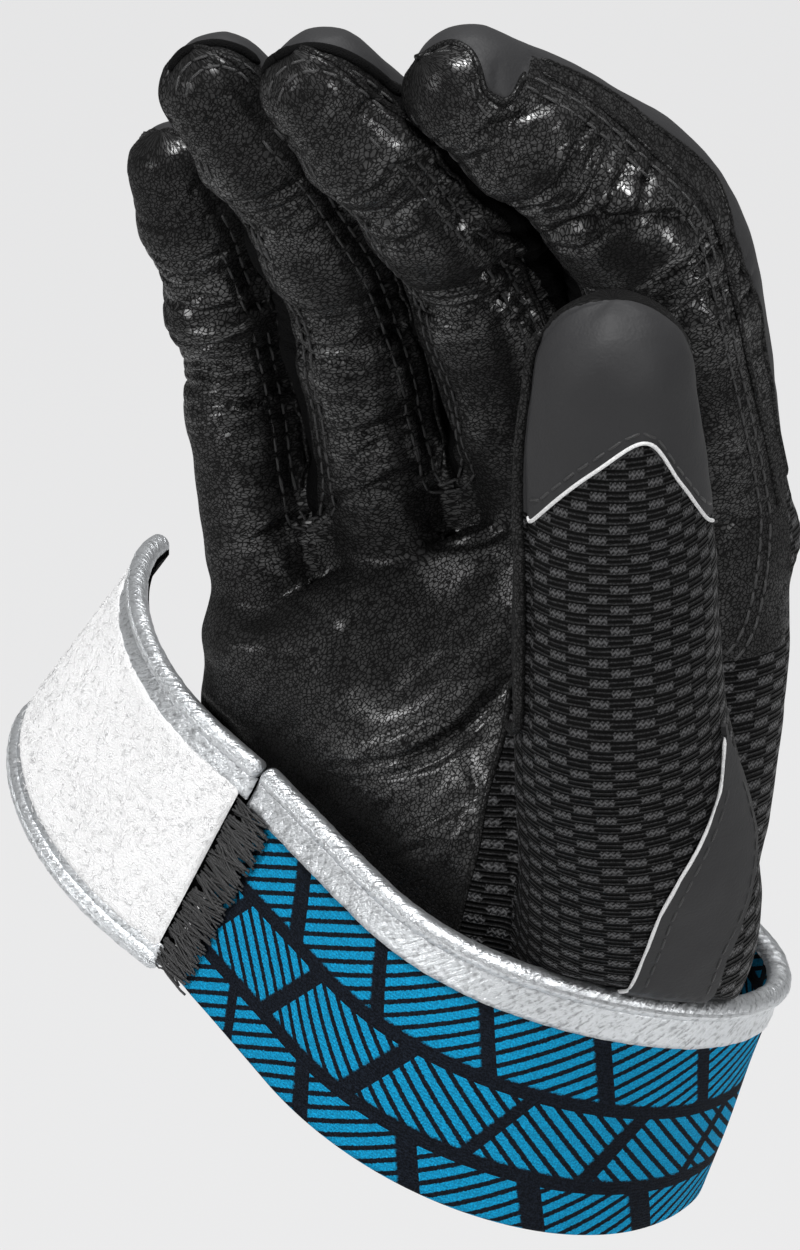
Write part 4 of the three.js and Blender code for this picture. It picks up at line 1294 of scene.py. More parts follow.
def leather_finish():
    """Black leather with small pits, soft sheen, and wrinkles with bright tops where it is creased."""
    f = Finish(
        "pebbled_leather", colour("leather"),
        Roughness=0.6, Specular_IOR_Level=0.12, Coat_Roughness=0.31, Coat_IOR=1.9,
    )
    rest = f.place()
    run, around, deep = f.parts(f.place("cloth"))
    crease = f.place("crease", "Fac")
    fine = f.noise(rest, 3.2, 3.0, 0.65)
    drift = f.noise(rest, 0.9, 2.0) * 1.2
    grain = f.joined(run * 1.85 + drift, around * 1.3 + drift, deep * 1.5)
    plates = f.steps(f.cells(grain, 1.0, "DISTANCE_TO_EDGE") + (fine - 0.5) * 0.14, 0.03, 0.2)
    ladder = f.noise(f.joined(run * 0.62, around * 0.13, fine * 0.25), 1.0, 2.5, 0.6)
    tops = f.steps(ladder, 0.4, 0.66)
    f.bump(plates * 0.55 + fine * 0.35 + crease * ladder * 4.0, 0.00032)
    # The base colour is painted shade: dark in the crevices between the grain's plates and a little lighter
    # on the plates.
    f.set("Base Color", f.mix(plates, colour("leather", 0.3), colour("leather", 1.3)))
    f.set("Roughness", 0.75 - crease * tops * 0.25 - plates * 0.15)
    sheen = 0.1 + f.steps(f.noise(rest, 0.14), 0.35, 0.7) * 0.12 + crease * (tops * 0.55 + 0.3)
    f.set("Coat Weight", sheen * (0.03 + plates * 0.97))
    return f.material


def leather_cloth(name, skin):
    """Millimetres across and along a leather panel's wrinkles."""
    if name.endswith("front") or name.startswith("thumb"):
        d = digit(name.split("_")[0])
        run = d.run_at(skin.values[f"{d.name}_t"])
        return np.stack([run, np.radians(angle_of(skin, d.name)) * d.halves[1], 0 * run], 1)
    x, y, z = FRONT @ skin.values["rest"].T
    return np.stack([y * 0.8 - x * 0.6, x * 0.8 + y * 0.6, z], 1)


def smooth_finish():
    f = Finish("smooth_synthetic", colour("smooth"), Roughness=0.62, Specular_IOR_Level=0.3)
    rest = f.place()
    f.bump(f.noise(rest, 1.6, 3.0) + f.cells(rest, 2.2) * 0.4, 0.0001, 0.6)
    return f.material


def knit_finish():
    """Raised blocks of V stitches and sunk blocks with two thin bars, in a chequer."""
    f = Finish("block_knit", colour("knit"), Roughness=0.6, Specular_IOR_Level=0.06, Coat_Roughness=0.4)
    across, along, _ = f.parts(f.place("cloth"))
    wide, tall = 3.3, 1.72
    x, y = across / wide, along / tall
    fx, fy = x.math("FRACT"), y.math("FRACT")
    chequer = (x.math("FLOOR") + y.math("FLOOR")).math("FLOORED_MODULO", 2.0)
    off_x, off_y = (fx - 0.5).math("ABSOLUTE"), (fy - 0.5).math("ABSOLUTE")
    raised = chequer * (f.steps(off_x, 0.5, 0.36) * f.steps(off_y, 0.5, 0.3))
    vee = wave(along + (fx * 4.0).math("PINGPONG", 0.5) * 0.9, 0.86)
    ribs = wave(across, wide / 4) * 0.3
    bars = wave(along, tall / 2)
    height = raised * (0.7 + vee * 0.32 + ribs * 0.35) + (1 - raised) * (0.1 + bars * 0.3)
    f.bump(height + f.noise(f.place(), 4.0) * 0.3, 0.00065)
    # The base colour is painted highlight on the raised stitches and painted shade in the sunk blocks,
    # broken by some random tone; the coat follows the same mask.
    glint = f.steps(height + (f.noise(f.place(), 3.4) - 0.5) * 0.7, 0.1, 1.05)
    f.set("Base Color", f.mix(glint, colour("knit", 0.04), colour("knit", 6.6)))
    f.set("Coat Weight", glint * 0.5)
    return f.material


def stretch_finish():
    f = Finish("stretch_cloth", colour("knit", 0.25), Roughness=0.95, Specular_IOR_Level=0.08)
    rest = f.place()
    f.bump(f.noise(rest, 5.0, 3.0) + f.cells(rest, 3.0) * 0.5, 0.0003)
    return f.material


def print_finish():
    """Hatched parallelograms in rows that lean to and fro, on charcoal."""
    f = Finish("printed_band", colour("print_blue"), Roughness=0.85, Specular_IOR_Level=0.08)
    run, high, _ = f.parts(f.place("cloth"))
    level = high / 13.2 + 0.42
    row, inside = level.math("FLOOR"), level.math("FRACT")
    lean = row.math("FLOORED_MODULO", 2.0) * 2.0 - 1.0
    odd = (row * 12.9898).math("SINE") * 43.7
    slid = (run + lean * high * 0.5 + odd) / 19.0
    cell, part = slid.math("FLOOR"), slid.math("FRACT")
    jitter = ((cell * 7.13 + row * 3.7).math("SINE") * 91.7).math("FRACT") * 0.12
    rest = f.place()
    heather = f.steps(f.noise(rest, 3.4, 2.0, 0.7), 0.4, 0.64)
    fuzz = (f.noise(rest, 2.6, 2.0, 0.6) - 0.5) * 0.2
    shape = f.steps(part + fuzz * 0.25, 0.1 + jitter, 0.13 + jitter)
    shape = shape * f.steps(inside + fuzz * 0.3, 0.16, 0.195)
    hatch = ((run * 0.6 + lean * high * -0.8) / 2.05).math("FRACT")
    stripes = f.steps((hatch - 0.5).math("ABSOLUTE") + fuzz, 0.34, 0.28)
    thread = f.steps(wave(high + f.noise(rest, 0.8) * 0.6, 0.55), -0.6, 0.8)
    blue = f.mix(heather, colour("print_blue", 0.72), colour("print_blue"))
    coal = f.mix(heather, colour("charcoal", 0.6), colour("charcoal", 2.2))
    f.set("Base Color", f.mix(shape * stripes * (0.8 + heather * 0.2), coal, blue))
    f.bump(thread * 0.7 + heather * 0.5, 0.00012, 0.7)
    return f.material


def silver_finish():
    """Silver foil with fine slanting wrinkles and small dents."""
    f = Finish("silver_binding", colour("silver"), Roughness=0.36, Metallic=0.88)
    run, over, _ = f.parts(f.place("cloth"))
    crinkle = f.noise(f.joined(run * 1.25 + over * 1.1, over * 0.45, 0.0), 1.0, 3.0, 0.65)
    dents = f.noise(f.place(), 1.1, 2.0, 0.6)
    f.bump(crinkle + dents * 0.6, 0.00042, 0.85)
    f.set("Roughness", f.steps(crinkle, 0.3, 0.7, 0.44, 0.3))
    # The base colour is painted shade: darker in the low parts of the crinkles and dents that the bump
    # raises.
    dark = f.steps(crinkle * 0.6 + dents * 0.4, 0.36, 0.52)
    f.set("Base Color", f.mix(dark, colour("silver", 0.55), colour("silver")))
    return f.material


# Plain finishes: the material's name, its colour, roughness, grain's scale and depth, and fixed values
PLAIN_FINISHES = {
    "loop": ("loop_fibre", ("white", 1.0), 0.9, 3.0, 0.0004, {"Sheen_Weight": 0.4}),
    "piping": ("white_piping", ("white", 0.75), 0.55, 2.0, 0.0004, {}),
    "thread": ("black_thread", ("thread", 1.0), 0.45, 7.0, 0.0002, {"Specular_IOR_Level": 0.6}),
    # The dense thread is the black thread made half again lighter, as painted highlight on the zigzag's
    # threads.
    "sewn": ("dense_thread", ("thread", 1.5), 0.5, 2.5, 0.0004, {}),
    "hook": ("hook_face", ("hook", 1.0), 0.7, 2.5, 0.0004, {}),
    "rubber": ("moulded_rubber", ("rubber", 1.0), 0.45, 1.0, 0.0001, {}),
}


def plain_finish(name, base, roughness, grain, depth, fixed):
    f = Finish(name, colour(*base), Roughness=roughness, **fixed)
    f.bump(f.noise(f.place(), grain, 3.0, 0.6), depth)
    return f.material


@lru_cache(None)
def finish(kind):
    """The material of this kind, made once."""
    if kind in PLAIN_FINISHES:
        return plain_finish(*PLAIN_FINISHES[kind])
    return {
        "leather": leather_finish, "smooth": smooth_finish, "knit": knit_finish,
        "stretch": stretch_finish, "print": print_finish, "silver": silver_finish,
    }[kind]()


# Cuff, tab and closure
SHEET_STEP = 0.8
# A stitch from end to end: places along it, and its lift and thickness there
STITCH_SHAPE = np.array([
    (-0.5, -0.55, 0.5), (-0.46, -0.25, 0.85), (-0.3, 0, 1), (0, 0.1, 1), (0.3, 0, 1), (0.46, -0.25, 0.85),
    (0.5, -0.55, 0.5),
])


def sheet_of(outer, inner, cloth):
    """A closed sheet between two grids of points, with cloth coordinates for its material."""
    rows, columns = outer.shape[:2]
    tri = grid_tri(rows, columns)
    flat_outer, flat_inner = outer.reshape(-1, 3), inner.reshape(-1, 3)
    a, b, c = (flat_outer[tri[:, k]] for k in range(3))
    if (np.cross(b - a, c - a) * (flat_outer - flat_inner)[tri[:, 0]]).sum() < 0:
        tri = tri[:, ::-1]
    skin = Skin(flat_outer, tri, cloth=cloth.reshape(-1, 3), rest=flat_outer)
    skin.values["out"] = skin.normals()
    return skin.shell(None, flat_inner)


def edge_round(s, h, radius):
    """How far an edge is rounded off at places s, h of a sheet, in mm."""
    gap = np.minimum.reduce([s - s.min(), s.max() - s, h - h.min(), h.max() - h])
    near = np.clip(1 - gap / radius, 0, 1)
    return radius * (1 - np.sqrt(1 - near**2))


def even_steps(run, step, least=2):
    """Places from one end of a run to the other, about a step apart."""
    return np.linspace(*run, max(int((run[1] - run[0]) / step), least) + 1)


def band_piece(run, heights, lift, thickness, relief):
    """A sheet along the cuff's plan between two distances and two heights."""
    s, h = np.meshgrid(even_steps(run, SHEET_STEP), even_steps(heights, SHEET_STEP), indexing="ij")
    off = edge_round(s, h, thickness / 2)
    outer = cuff_face(s, h, lift + relief(s, h) - off)[0]
    inner = cuff_face(s, h, lift - thickness + off)[0]
    return sheet_of(outer, inner, np.stack([s, h, 0 * s], -1))


def ridge_piece(run, high, lift, radius, flat, seed, blunt=1.0):
    """A round crinkled ridge along the cuff at one height; blunt shortens its round ends."""
    s = even_steps(run, 0.45, 8)
    path, out = cuff_face(s, np.full_like(s, high), lift)
    sides = 18
    a = -np.linspace(0, 2 * np.pi, sides, endpoint=False)
    wrinkle = 1 + 0.035 * noise_over(s[:, None] / 1.1, np.cos(a) * 1.2, seed)
    wrinkle += 0.015 * noise_over(s[:, None] / 0.55, np.sin(a) * 2, seed + 1)
    end = np.minimum(s - s[0], s[-1] - s)
    taper = np.sqrt(np.clip(1 - np.clip(1 - end / (radius * blunt), 0, 1) ** 2, 0.02, 1))
    size = wrinkle * radius * taper[:, None]
    skin = sweep(path, out, np.stack([np.cos(a) * size * flat, np.sin(a) * size], -1))
    cloth = np.stack([np.repeat(s, sides), np.tile(a * radius, len(s)), np.zeros(len(s) * sides)], 1)
    skin.values["cloth"] = np.concatenate([cloth, cloth[:1], cloth[-1:]])
    skin.values["rest"] = skin.co
    return skin


def crinkles(s, h):
    """Foil wrinkles, with the sheet's lower and upper edges a little proud."""
    x, y = s / 1.3, h / 2.2
    edge = np.minimum(h - h.min(), h.max() - h)
    return 0.1 * noise_over(x, y, 71) + 0.06 * noise_over(x * 2.1, y * 2.1, 72) + 0.35 * hump(edge, 0.8)


def stitch_row(path, out, radius=0.26):
    """A row of small thread stitches along a path of places with their outward ways."""
    length, gap = 2.3, 0.75
    both = resample(np.concatenate([path, out], 1), length + gap)
    bend, sink, thick = STITCH_SHAPE.T
    stitches = []
    for start, end in zip(both[:-1], both[1:]):
        centre, up = (start[:3] + end[:3]) / 2, unit((start[3:] + end[3:]) / 2)
        way = unit(end[:3] - start[:3])
        line = centre + way * (bend * length)[:, None] + up * (sink * radius * 1.3)[:, None]
        profile = ring_profile(radius, 6)[None] * thick[:, None, None]
        stitches.append(sweep(line, np.broadcast_to(up, line.shape), profile))
    return joined(stitches)


def tube_on(path, out, radius, sides=8, flat=1.0):
    """A round or flattened tube along a path, thinner at its ends."""
    ends = np.minimum(np.arange(len(path)), np.arange(len(path))[::-1])
    taper = np.clip(0.45 + ends * 0.3, 0, 1)
    return sweep(path, out, ring_profile(radius, sides, flat)[None] * taper[:, None, None])


# Settings
def length_setting(name, description, value):
    return FloatProperty(
        name=name, description=description, default=value, unit="LENGTH", subtype="DISTANCE"
    )


class GloveSizes(bpy.types.PropertyGroup):
    """Sizes of the glove's making."""

    remesh_step: length_setting("Skin step", "Size of the cells that the hand's skin is grown from", 0.0014)
    remesh_margin: length_setting("Skin margin", "How far inside its place the skin is grown", 0.0005)
    loop_fibres: IntProperty(
        name="Loop fibres", description="Fibres standing on the loop pad", default=2400, min=0
    )
    floor_drop: length_setting("Floor drop", "How far the floor lies below the glove", 0.09)


def colour_setting(name, description, value):
    return FloatVectorProperty(
        name=name, description=description, default=value, subtype="COLOR", size=3, min=0, max=1
    )


class GloveColours(bpy.types.PropertyGroup):
    """Colours of the glove's cloths and leathers."""

    leather: colour_setting("Leather", "Pebbled leather", (0.0066, 0.0065, 0.0066))
    smooth: colour_setting("Smooth cloth", "Smooth synthetic overlays", (0.019, 0.019, 0.0202))
    knit: colour_setting("Knit", "Block knit", (0.0125, 0.0125, 0.013))
    print_blue: colour_setting("Print", "Hatching on the band", (0.006, 0.33, 0.62))
    charcoal: colour_setting("Charcoal", "Ground of the band", (0.0045, 0.0062, 0.0098))
    silver: colour_setting("Silver", "Crinkled binding", (0.66, 0.68, 0.7))
    white: colour_setting("White", "Loop fibres and pipings", (0.94, 0.94, 0.945))
    thread: colour_setting("Thread", "Stitching", (0.021, 0.021, 0.0215))
    hook: colour_setting("Hook", "Hook face of the closure", (0.03, 0.03, 0.032))
    rubber: colour_setting("Rubber", "Moulding of the pull tab", (0.02, 0.021, 0.022))


# Each panel's finish and thickness, and its flat cut's width, length and area
PALM_PANELS = {
    "palm_leather": ("leather", LEATHER, 68, 100, 5760),
    "index_side_leather": ("leather", LEATHER, 31, 25, 620),
    "wrist_side_knit": ("knit", LEATHER, 64, 118, 4240),
    "hand_back_knit": ("knit", LEATHER, 70, 82, 5010),
    "wrist_back_radial": ("knit", LEATHER, 26, 44, 910),
    "wrist_vent_gusset": ("stretch", LEATHER, 20, 45, 840),
    "wrist_back_ulnar": ("knit", LEATHER, 29, 53, 1380),
}
THENAR_PANELS = {
    "thenar_knit": ("knit", LEATHER, 81, 82, 3690),
    "thumb_web_leather": ("leather", LEATHER, 42, 69, 1150),
}
THUMB_PANELS = {
    "thumb_knit": ("knit", CLOTH, 56, 54, 1850),
    "thumb_front": ("leather", LEATHER, 72, 71, 3340),
    "thumb_tip_cap": ("smooth", CLOTH, 61, 35, 1000),
}
FINGER_PANELS = {
    "index_front": ("leather", LEATHER, 48, 99, 3690),
    "index_back": ("smooth", CLOTH, 38, 88, 3100),
    "index_tip_cap": ("smooth", CLOTH, 43, 12, 310),
    "index_wall_ulnar": ("stretch", CLOTH, 15, 99, 1190),
    "middle_front": ("leather", LEATHER, 42, 98, 2780),
    "middle_back": ("smooth", CLOTH, 27, 82, 2180),
    "middle_tip_cap": ("smooth", CLOTH, 35, 17, 450),
    "middle_wall_ulnar": ("stretch", CLOTH, 12, 90, 850),
    "middle_wall_radial": ("stretch", CLOTH, 10, 80, 650),
    "ring_front": ("leather", LEATHER, 40, 95, 2580),
    "ring_back": ("smooth", CLOTH, 26, 78, 1960),
    "ring_tip_cap": ("smooth", CLOTH, 30, 17, 410),
    "ring_wall_ulnar": ("stretch", CLOTH, 11, 95, 950),
    "ring_wall_radial": ("stretch", CLOTH, 10, 70, 480),
    "pinky_front": ("leather", LEATHER, 43, 78, 2770),
    "pinky_back": ("smooth", CLOTH, 23, 64, 1390),
    "pinky_tip_cap": ("smooth", CLOTH, 20, 15, 230),
    "pinky_wall_radial": ("stretch", CLOTH, 10, 65, 420),
}
PANELS = PALM_PANELS | THENAR_PANELS | THUMB_PANELS | FINGER_PANELS


def cut_from_sheet(obj, width, length, area=None, held="stretched"):
    """Converts a flat cut's area from square millimetres to square metres, and does nothing more with the
    piece.
    """
    area = None if area is None else area * MM * MM


def knit_cloth(name, skin):
    """Millimetres across and along a panel, for its knit."""
    if name.startswith("th"):
        run = digit("thumb").run_at(skin.values["thumb_t"])
        return np.stack([np.radians(angle_of(skin, "thumb")) * 15.5, run, 0 * run], 1)
    return np.stack([u_of(skin) * 40, skin.co @ UP, 0 * skin.values["v"]], 1)


def panel_object(name):
    """A panel as a closed shell."""
    kind, thickness, *cut = PANELS[name]
    skin = panels()[name].shell(thickness)
    cloth = {"knit": knit_cloth, "leather": leather_cloth}.get(kind, lambda *_: None)(name, skin)
    obj = piece(f"{name}_skin", skin, kind, name, cloth)
    cut_from_sheet(obj, *cut)
    return obj


class GLOVE_OT_palm(bpy.types.Operator):
    """Builds the palm, the wrist and the back of the hand"""

    bl_idname = "glove.palm"
    bl_label = "Palm and wrist"

    def execute(self, context):
        for name in PALM_PANELS:
            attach(panel_object(name), "hand")
        return {"FINISHED"}


class GLOVE_OT_overlays(bpy.types.Operator):
    """Builds the raised overlays on the back and round the thumb's root"""

    bl_idname = "glove.overlays"
    bl_label = "Overlays"

    def execute(self, context):
        back, root = panels()["hand_back_knit"], panels()["thenar_knit"]
        for node, (low_u, high_u, low_v, high_v), kind, lift in (
            ("knuckle_yoke", YOKE, "smooth", 1.1), ("knuckle_badge", BADGE, "silver", 2.0)
        ):
            across = between(round_palm(back, low_u), round_palm(back, high_u))
            v = back.values["v"]
            along = between((v - low_v) * 100, (v - high_v) * 100)
            self.add(node, back.cut(np.minimum(across, along))[0], kind, lift, OVERLAY)
        flash = between(past(root, "thumb", FLASH_LEFT), past(root, "thumb", FLASH_RIGHT))
        self.add("thumb_flash", root.cut(flash)[0], "smooth", 0.9, OVERLAY - 0.05)
        return {"FINISHED"}

    @staticmethod
    def add(node, part, kind, lift, thickness):
        """A part of a panel again, lifted off it."""
        part.co += part.values["out"] * lift
        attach(piece(f"{node}_overlay", part.shell(thickness), kind, node), "hand")


class GLOVE_OT_fingers(bpy.types.Operator):
    """Builds the four fingers' panels"""

    bl_idname = "glove.fingers"
    bl_label = "Fingers"

    def execute(self, context):
        for finger in FINGERS:
            for name in FINGER_PANELS:
                if name.startswith(finger):
                    finger_blend(panel_object(name), finger)
        return {"FINISHED"}


class GLOVE_OT_thumb(bpy.types.Operator):
    """Builds the thumb: the lower part on the hand and the upper part above its hinge"""

    bl_idname = "glove.thumb"
    bl_label = "Thumb"

    def execute(self, context):
        for name in THENAR_PANELS:
            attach(panel_object(name), "hand")
        for name in THUMB_PANELS:
            thumb_blend(panel_object(name))
        return {"FINISHED"}


INDEX_CAP_EDGE = (
    (2.88, 8), (2.93, -20), (3.05, -31), (3.33, -27), (3.55, -10), (3.7, 5), (3.85, 22), (4.0, 40),
    (4.5, 62),
)
INDEX_SEWN_EDGE = (
    (533, 77), (590, 110), (647, 160), (700, 215), (722, 290), (741, 373), (760, 457), (770, 515),
)
INDEX_SEWN_FOOT = ((770, 522), (768, 560), (762, 600), (750, 640), (733, 662))
KNIT_WELT = (
    (521, 640), (517, 668), (510, 690), (503, 735), (486, 795), (477, 847), (466, 890), (457, 930),
    (449, 965),
)
ULNAR_ANGLE = ULNAR_EDGE[0][1]
STITCH_INSETS, STITCH_STEP, STITCH_LIFT, WELT_STEP = (2.6, 4.9), 0.8, 0.04, 0.6
ROWS_ASIDE = (0, 9)


class GLOVE_OT_stitching(bpy.types.Operator):
    """Sews the rows of stitches, the welts along the seams and the white pipings"""

    bl_idname = "glove.stitching"
    bl_label = "Stitching and pipings"

    def execute(self, context):
        for name in FINGERS:
            self.finger(name)
        self.crotches()
        self.thumb()
        self.overlay_edges()
        return {"FINISHED"}

    @staticmethod
    def side_rows(name, inset):
        """A row up each side of a finger, inset mm from its seams."""
        d = digit(name)
        t = np.linspace(0.35, d.tip - 0.3, 15)
        turn = np.degrees(inset / smooth_value(d.halves, t))
        far = 150 if name == "pinky" else ULNAR_ANGLE
        return list(zip(t, 346 - turn)), list(zip(t, far + turn))

    @staticmethod
    def index_row(aside):
        """A row beside the index finger's outer seam, as front-view points."""
        return [(x - aside, y + aside * (0.9 if y < 230 else 0.1)) for x, y in INDEX_SEWN_EDGE]

    def finger(self, name):
        """A finger's rows of stitches, the strip over its tip and its welts."""
        if name == "index":
            seen = [self.index_row(aside) for aside in ROWS_ASIDE]
            turned = [(t + 0.02, a - 13) for t, a in INDEX_CAP_EDGE[2:]]
            rows = [[(t, ULNAR_ANGLE + 15) for t in np.linspace(0.35, 3.6, 14)], turned]
            seam = [(t, along_line(INDEX_SEAM, t) - 1) for t in np.linspace(0.0, 2.7, 40)]
            welts = [digit_path(name, line, WELT_STEP, 0, 0.1) for line in (INDEX_CAP_EDGE, seam)]
            welts.append(seen_path([(x + 9, y - 5) for x, y in self.index_row(0)], WELT_STEP, -0.1))
        else:
            seen = TIP_ROWS.get(name, ())
            rows = [row for inset in STITCH_INSETS for row in self.side_rows(name, inset)]
            welts = [digit_path(name, [(t, -15) for t in np.linspace(0.3, 4.1, 24)], WELT_STEP, 0, 0.15)]
        if name != "pinky":
            edge = [(t, ULNAR_ANGLE + 1) for t in np.linspace(0.3, 4.0, 24)]
            welts.append(digit_path(name, edge, WELT_STEP, 0, 0.1))
        sewn = [stitch_row(*seen_path(points, STITCH_STEP, STITCH_LIFT)) for points in seen]
        sewn += [stitch_row(*digit_path(name, row, STITCH_STEP, 0, STITCH_LIFT)) for row in rows]
        finger_blend(piece(f"{name}_stitches", joined(sewn), "thread"), name)
        if name in TIP_EDGES:
            strip = tube_on(*seen_path(TIP_EDGES[name], WELT_STEP, 0.1), 0.9, flat=0.7)
            finger_blend(piece(f"{name}_tip_strip", strip, "stretch"), name)
        welted = joined([tube_on(*line, 0.55) for line in welts])
        finger_blend(piece(f"{name}_welts", welted, "leather"), name)

    @staticmethod
    def crotches():
        """Rows that turn round the foot of each gap between two fingers."""
        sewn = []
        for a, b in zip(map(digit, FINGERS), map(digit, FINGERS[1:])):
            for inset in STITCH_INSETS:
                turn_a, turn_b = (math.degrees(inset / d.halves[0]) for d in (a, b))
                down = [a.skin(t, 346 - turn_a)[0] for t in np.linspace(0.42, 0.24, 4)]
                rise = [b.skin(t, ULNAR_ANGLE + turn_b)[0] for t in np.linspace(0.24, 0.42, 4)]
                foot = (down[-1] + rise[0]) / 2 - UP * (1.2 + inset * 0.8)
                line = smooth_line([*down, foot, *rise], 60)
                sewn.append(stitch_row(*on_skin(resample(line, STITCH_STEP), STITCH_LIFT)))
        for aside in ROWS_ASIDE:
            points = [(x - aside, y - aside * 0.6) for x, y in INDEX_SEWN_FOOT]
            sewn.append(stitch_row(*seen_path(points, STITCH_STEP, STITCH_LIFT)))
        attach(piece("crotch_stitches", joined(sewn), "thread"), "hand")

    @staticmethod
    def thumb():
        """The welt where the knit meets the palm, and the thumb's roll, piping and stitches."""
        welt = tube_on(*seen_path(KNIT_WELT), 0.55, flat=0.6)
        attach(piece("knit_edge_welt", welt, "leather"), "hand")
        roll = [(t, along_line(THUMB_ROLL, t)) for t in np.linspace(THUMB_HINGE - 0.06, 4.55, 44)]
        upper = tube_on(*digit_path("thumb", roll, WELT_STEP, 0, 0.35), 0.95, 10)
        thumb_blend(piece("thumb_roll", upper, "leather"))
        cap = [(t, angle) for angle, t in THUMB_PIPING[1:-1]]
        edge = smooth_line([(3.05, 27), *cap, (2.9, 172)], 80)
        thumb_blend(piece("thumb_piping", tube_on(*digit_path("thumb", edge, 0.5, 0, 0.1), 0.3), "piping"))
        row = stitch_row(*digit_path("thumb", edge + (0.1, 0), STITCH_STEP, 0, 0.02))
        thumb_blend(piece("thumb_stitches", row, "thread"))

    @staticmethod
    def overlay_edges():
        """White piping along the flash overlay, with a row of stitches inside each of its edges."""
        left, right = smooth_line(FLASH_LEFT, 90), smooth_line(FLASH_RIGHT, 90)
        piping = tube_on(*digit_path("thumb", left, 0.5, 0, 0.55), 0.34)
        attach(piece("flash_piping", piping, "piping"), "hand")
        rows = [
            digit_path("thumb", line[14:], STITCH_STEP, aside, 0.95)
            for line, aside in ((left, 2.0), (right, -1.6))
        ]
        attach(piece("flash_stitches", joined([stitch_row(*row, 0.2) for row in rows]), "thread"), "hand")


class GLOVE_OT_cuff(bpy.types.Operator):
    """Builds the printed band, its crinkled binding and the zigzag seam"""

    bl_idname = "glove.cuff"
    bl_label = "Cuff"

    def execute(self, context):
        cloth = band_piece((0, BAND_LENGTH), (0, CUFF_HEIGHT), 0, CUFF_THICKNESS, self.sag)
        band = piece("cuff_band_cloth", cloth, "print", "cuff_band")
        cut_from_sheet(band, CUFF_HEIGHT, BAND_LENGTH)
        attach(band, "hand")
        run = (0, BAND_LENGTH + 0.5)
        ridge = ridge_piece(run, CUFF_HEIGHT - 0.3, -0.2, 1.75, 1.15, 80, blunt=0.7)
        flat = band_piece(run, (CUFF_HEIGHT - 6.6, CUFF_HEIGHT - 1.3), 0.55, 0.7, crinkles)
        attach(piece("cuff_top_binding_ridge", joined([ridge, flat]), "silver", "cuff_top_binding"), "hand")
        zigzag = piece("zigzag_bartack_thread", self.zigzag(), "sewn", "zigzag_bartack")
        start, end = cuff_face(BAND_LENGTH + np.array([-3.0, 3.0]), CUFF_HEIGHT / 2)[0] * MM
        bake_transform(zigzag)
        return {"FINISHED"}

    @staticmethod
    def sag(s, h):
        """The cloth's soft waves, and its dip beside the zigzag seam."""
        return 0.35 * noise_over(s / 22, h / 13, 75) - 0.5 * hump(s - BAND_LENGTH + 3, 2.5)

    @staticmethod
    def zigzag():
        """Dense strokes to and fro across the seam between the band and the loop tab."""
        rng = np.random.default_rng(9)
        strokes = []
        for high in np.arange(0.8, CUFF_HEIGHT - 6.6, 0.17):
            low, far = rng.uniform(-6.6, -4.2), rng.uniform(1.6, 2.6)
            s = BAND_LENGTH - 0.2 + np.linspace(low, far, 9)
            rise = np.linspace(-1.1, 1.1, 9) * rng.uniform(-1.2, 1.6) + rng.uniform(-0.3, 0.3)
            lift = 0.2 + rng.uniform(0, 0.5) + 0.5 * np.cos(np.linspace(-1.5, 1.5, 9))
            path, out = cuff_face(s, np.clip(high + rise, 0.3, CUFF_HEIGHT - 6.4), lift)
            strokes.append(sweep(path, out, ring_profile(rng.uniform(0.15, 0.24), 5)))
        return joined(strokes)


# The nap of the loop pad: heights, widths and seeds of its waves
NAP = ((0.04, 0.9, 77), (0.05, 2.3, 78), (0.12, 9, 79))


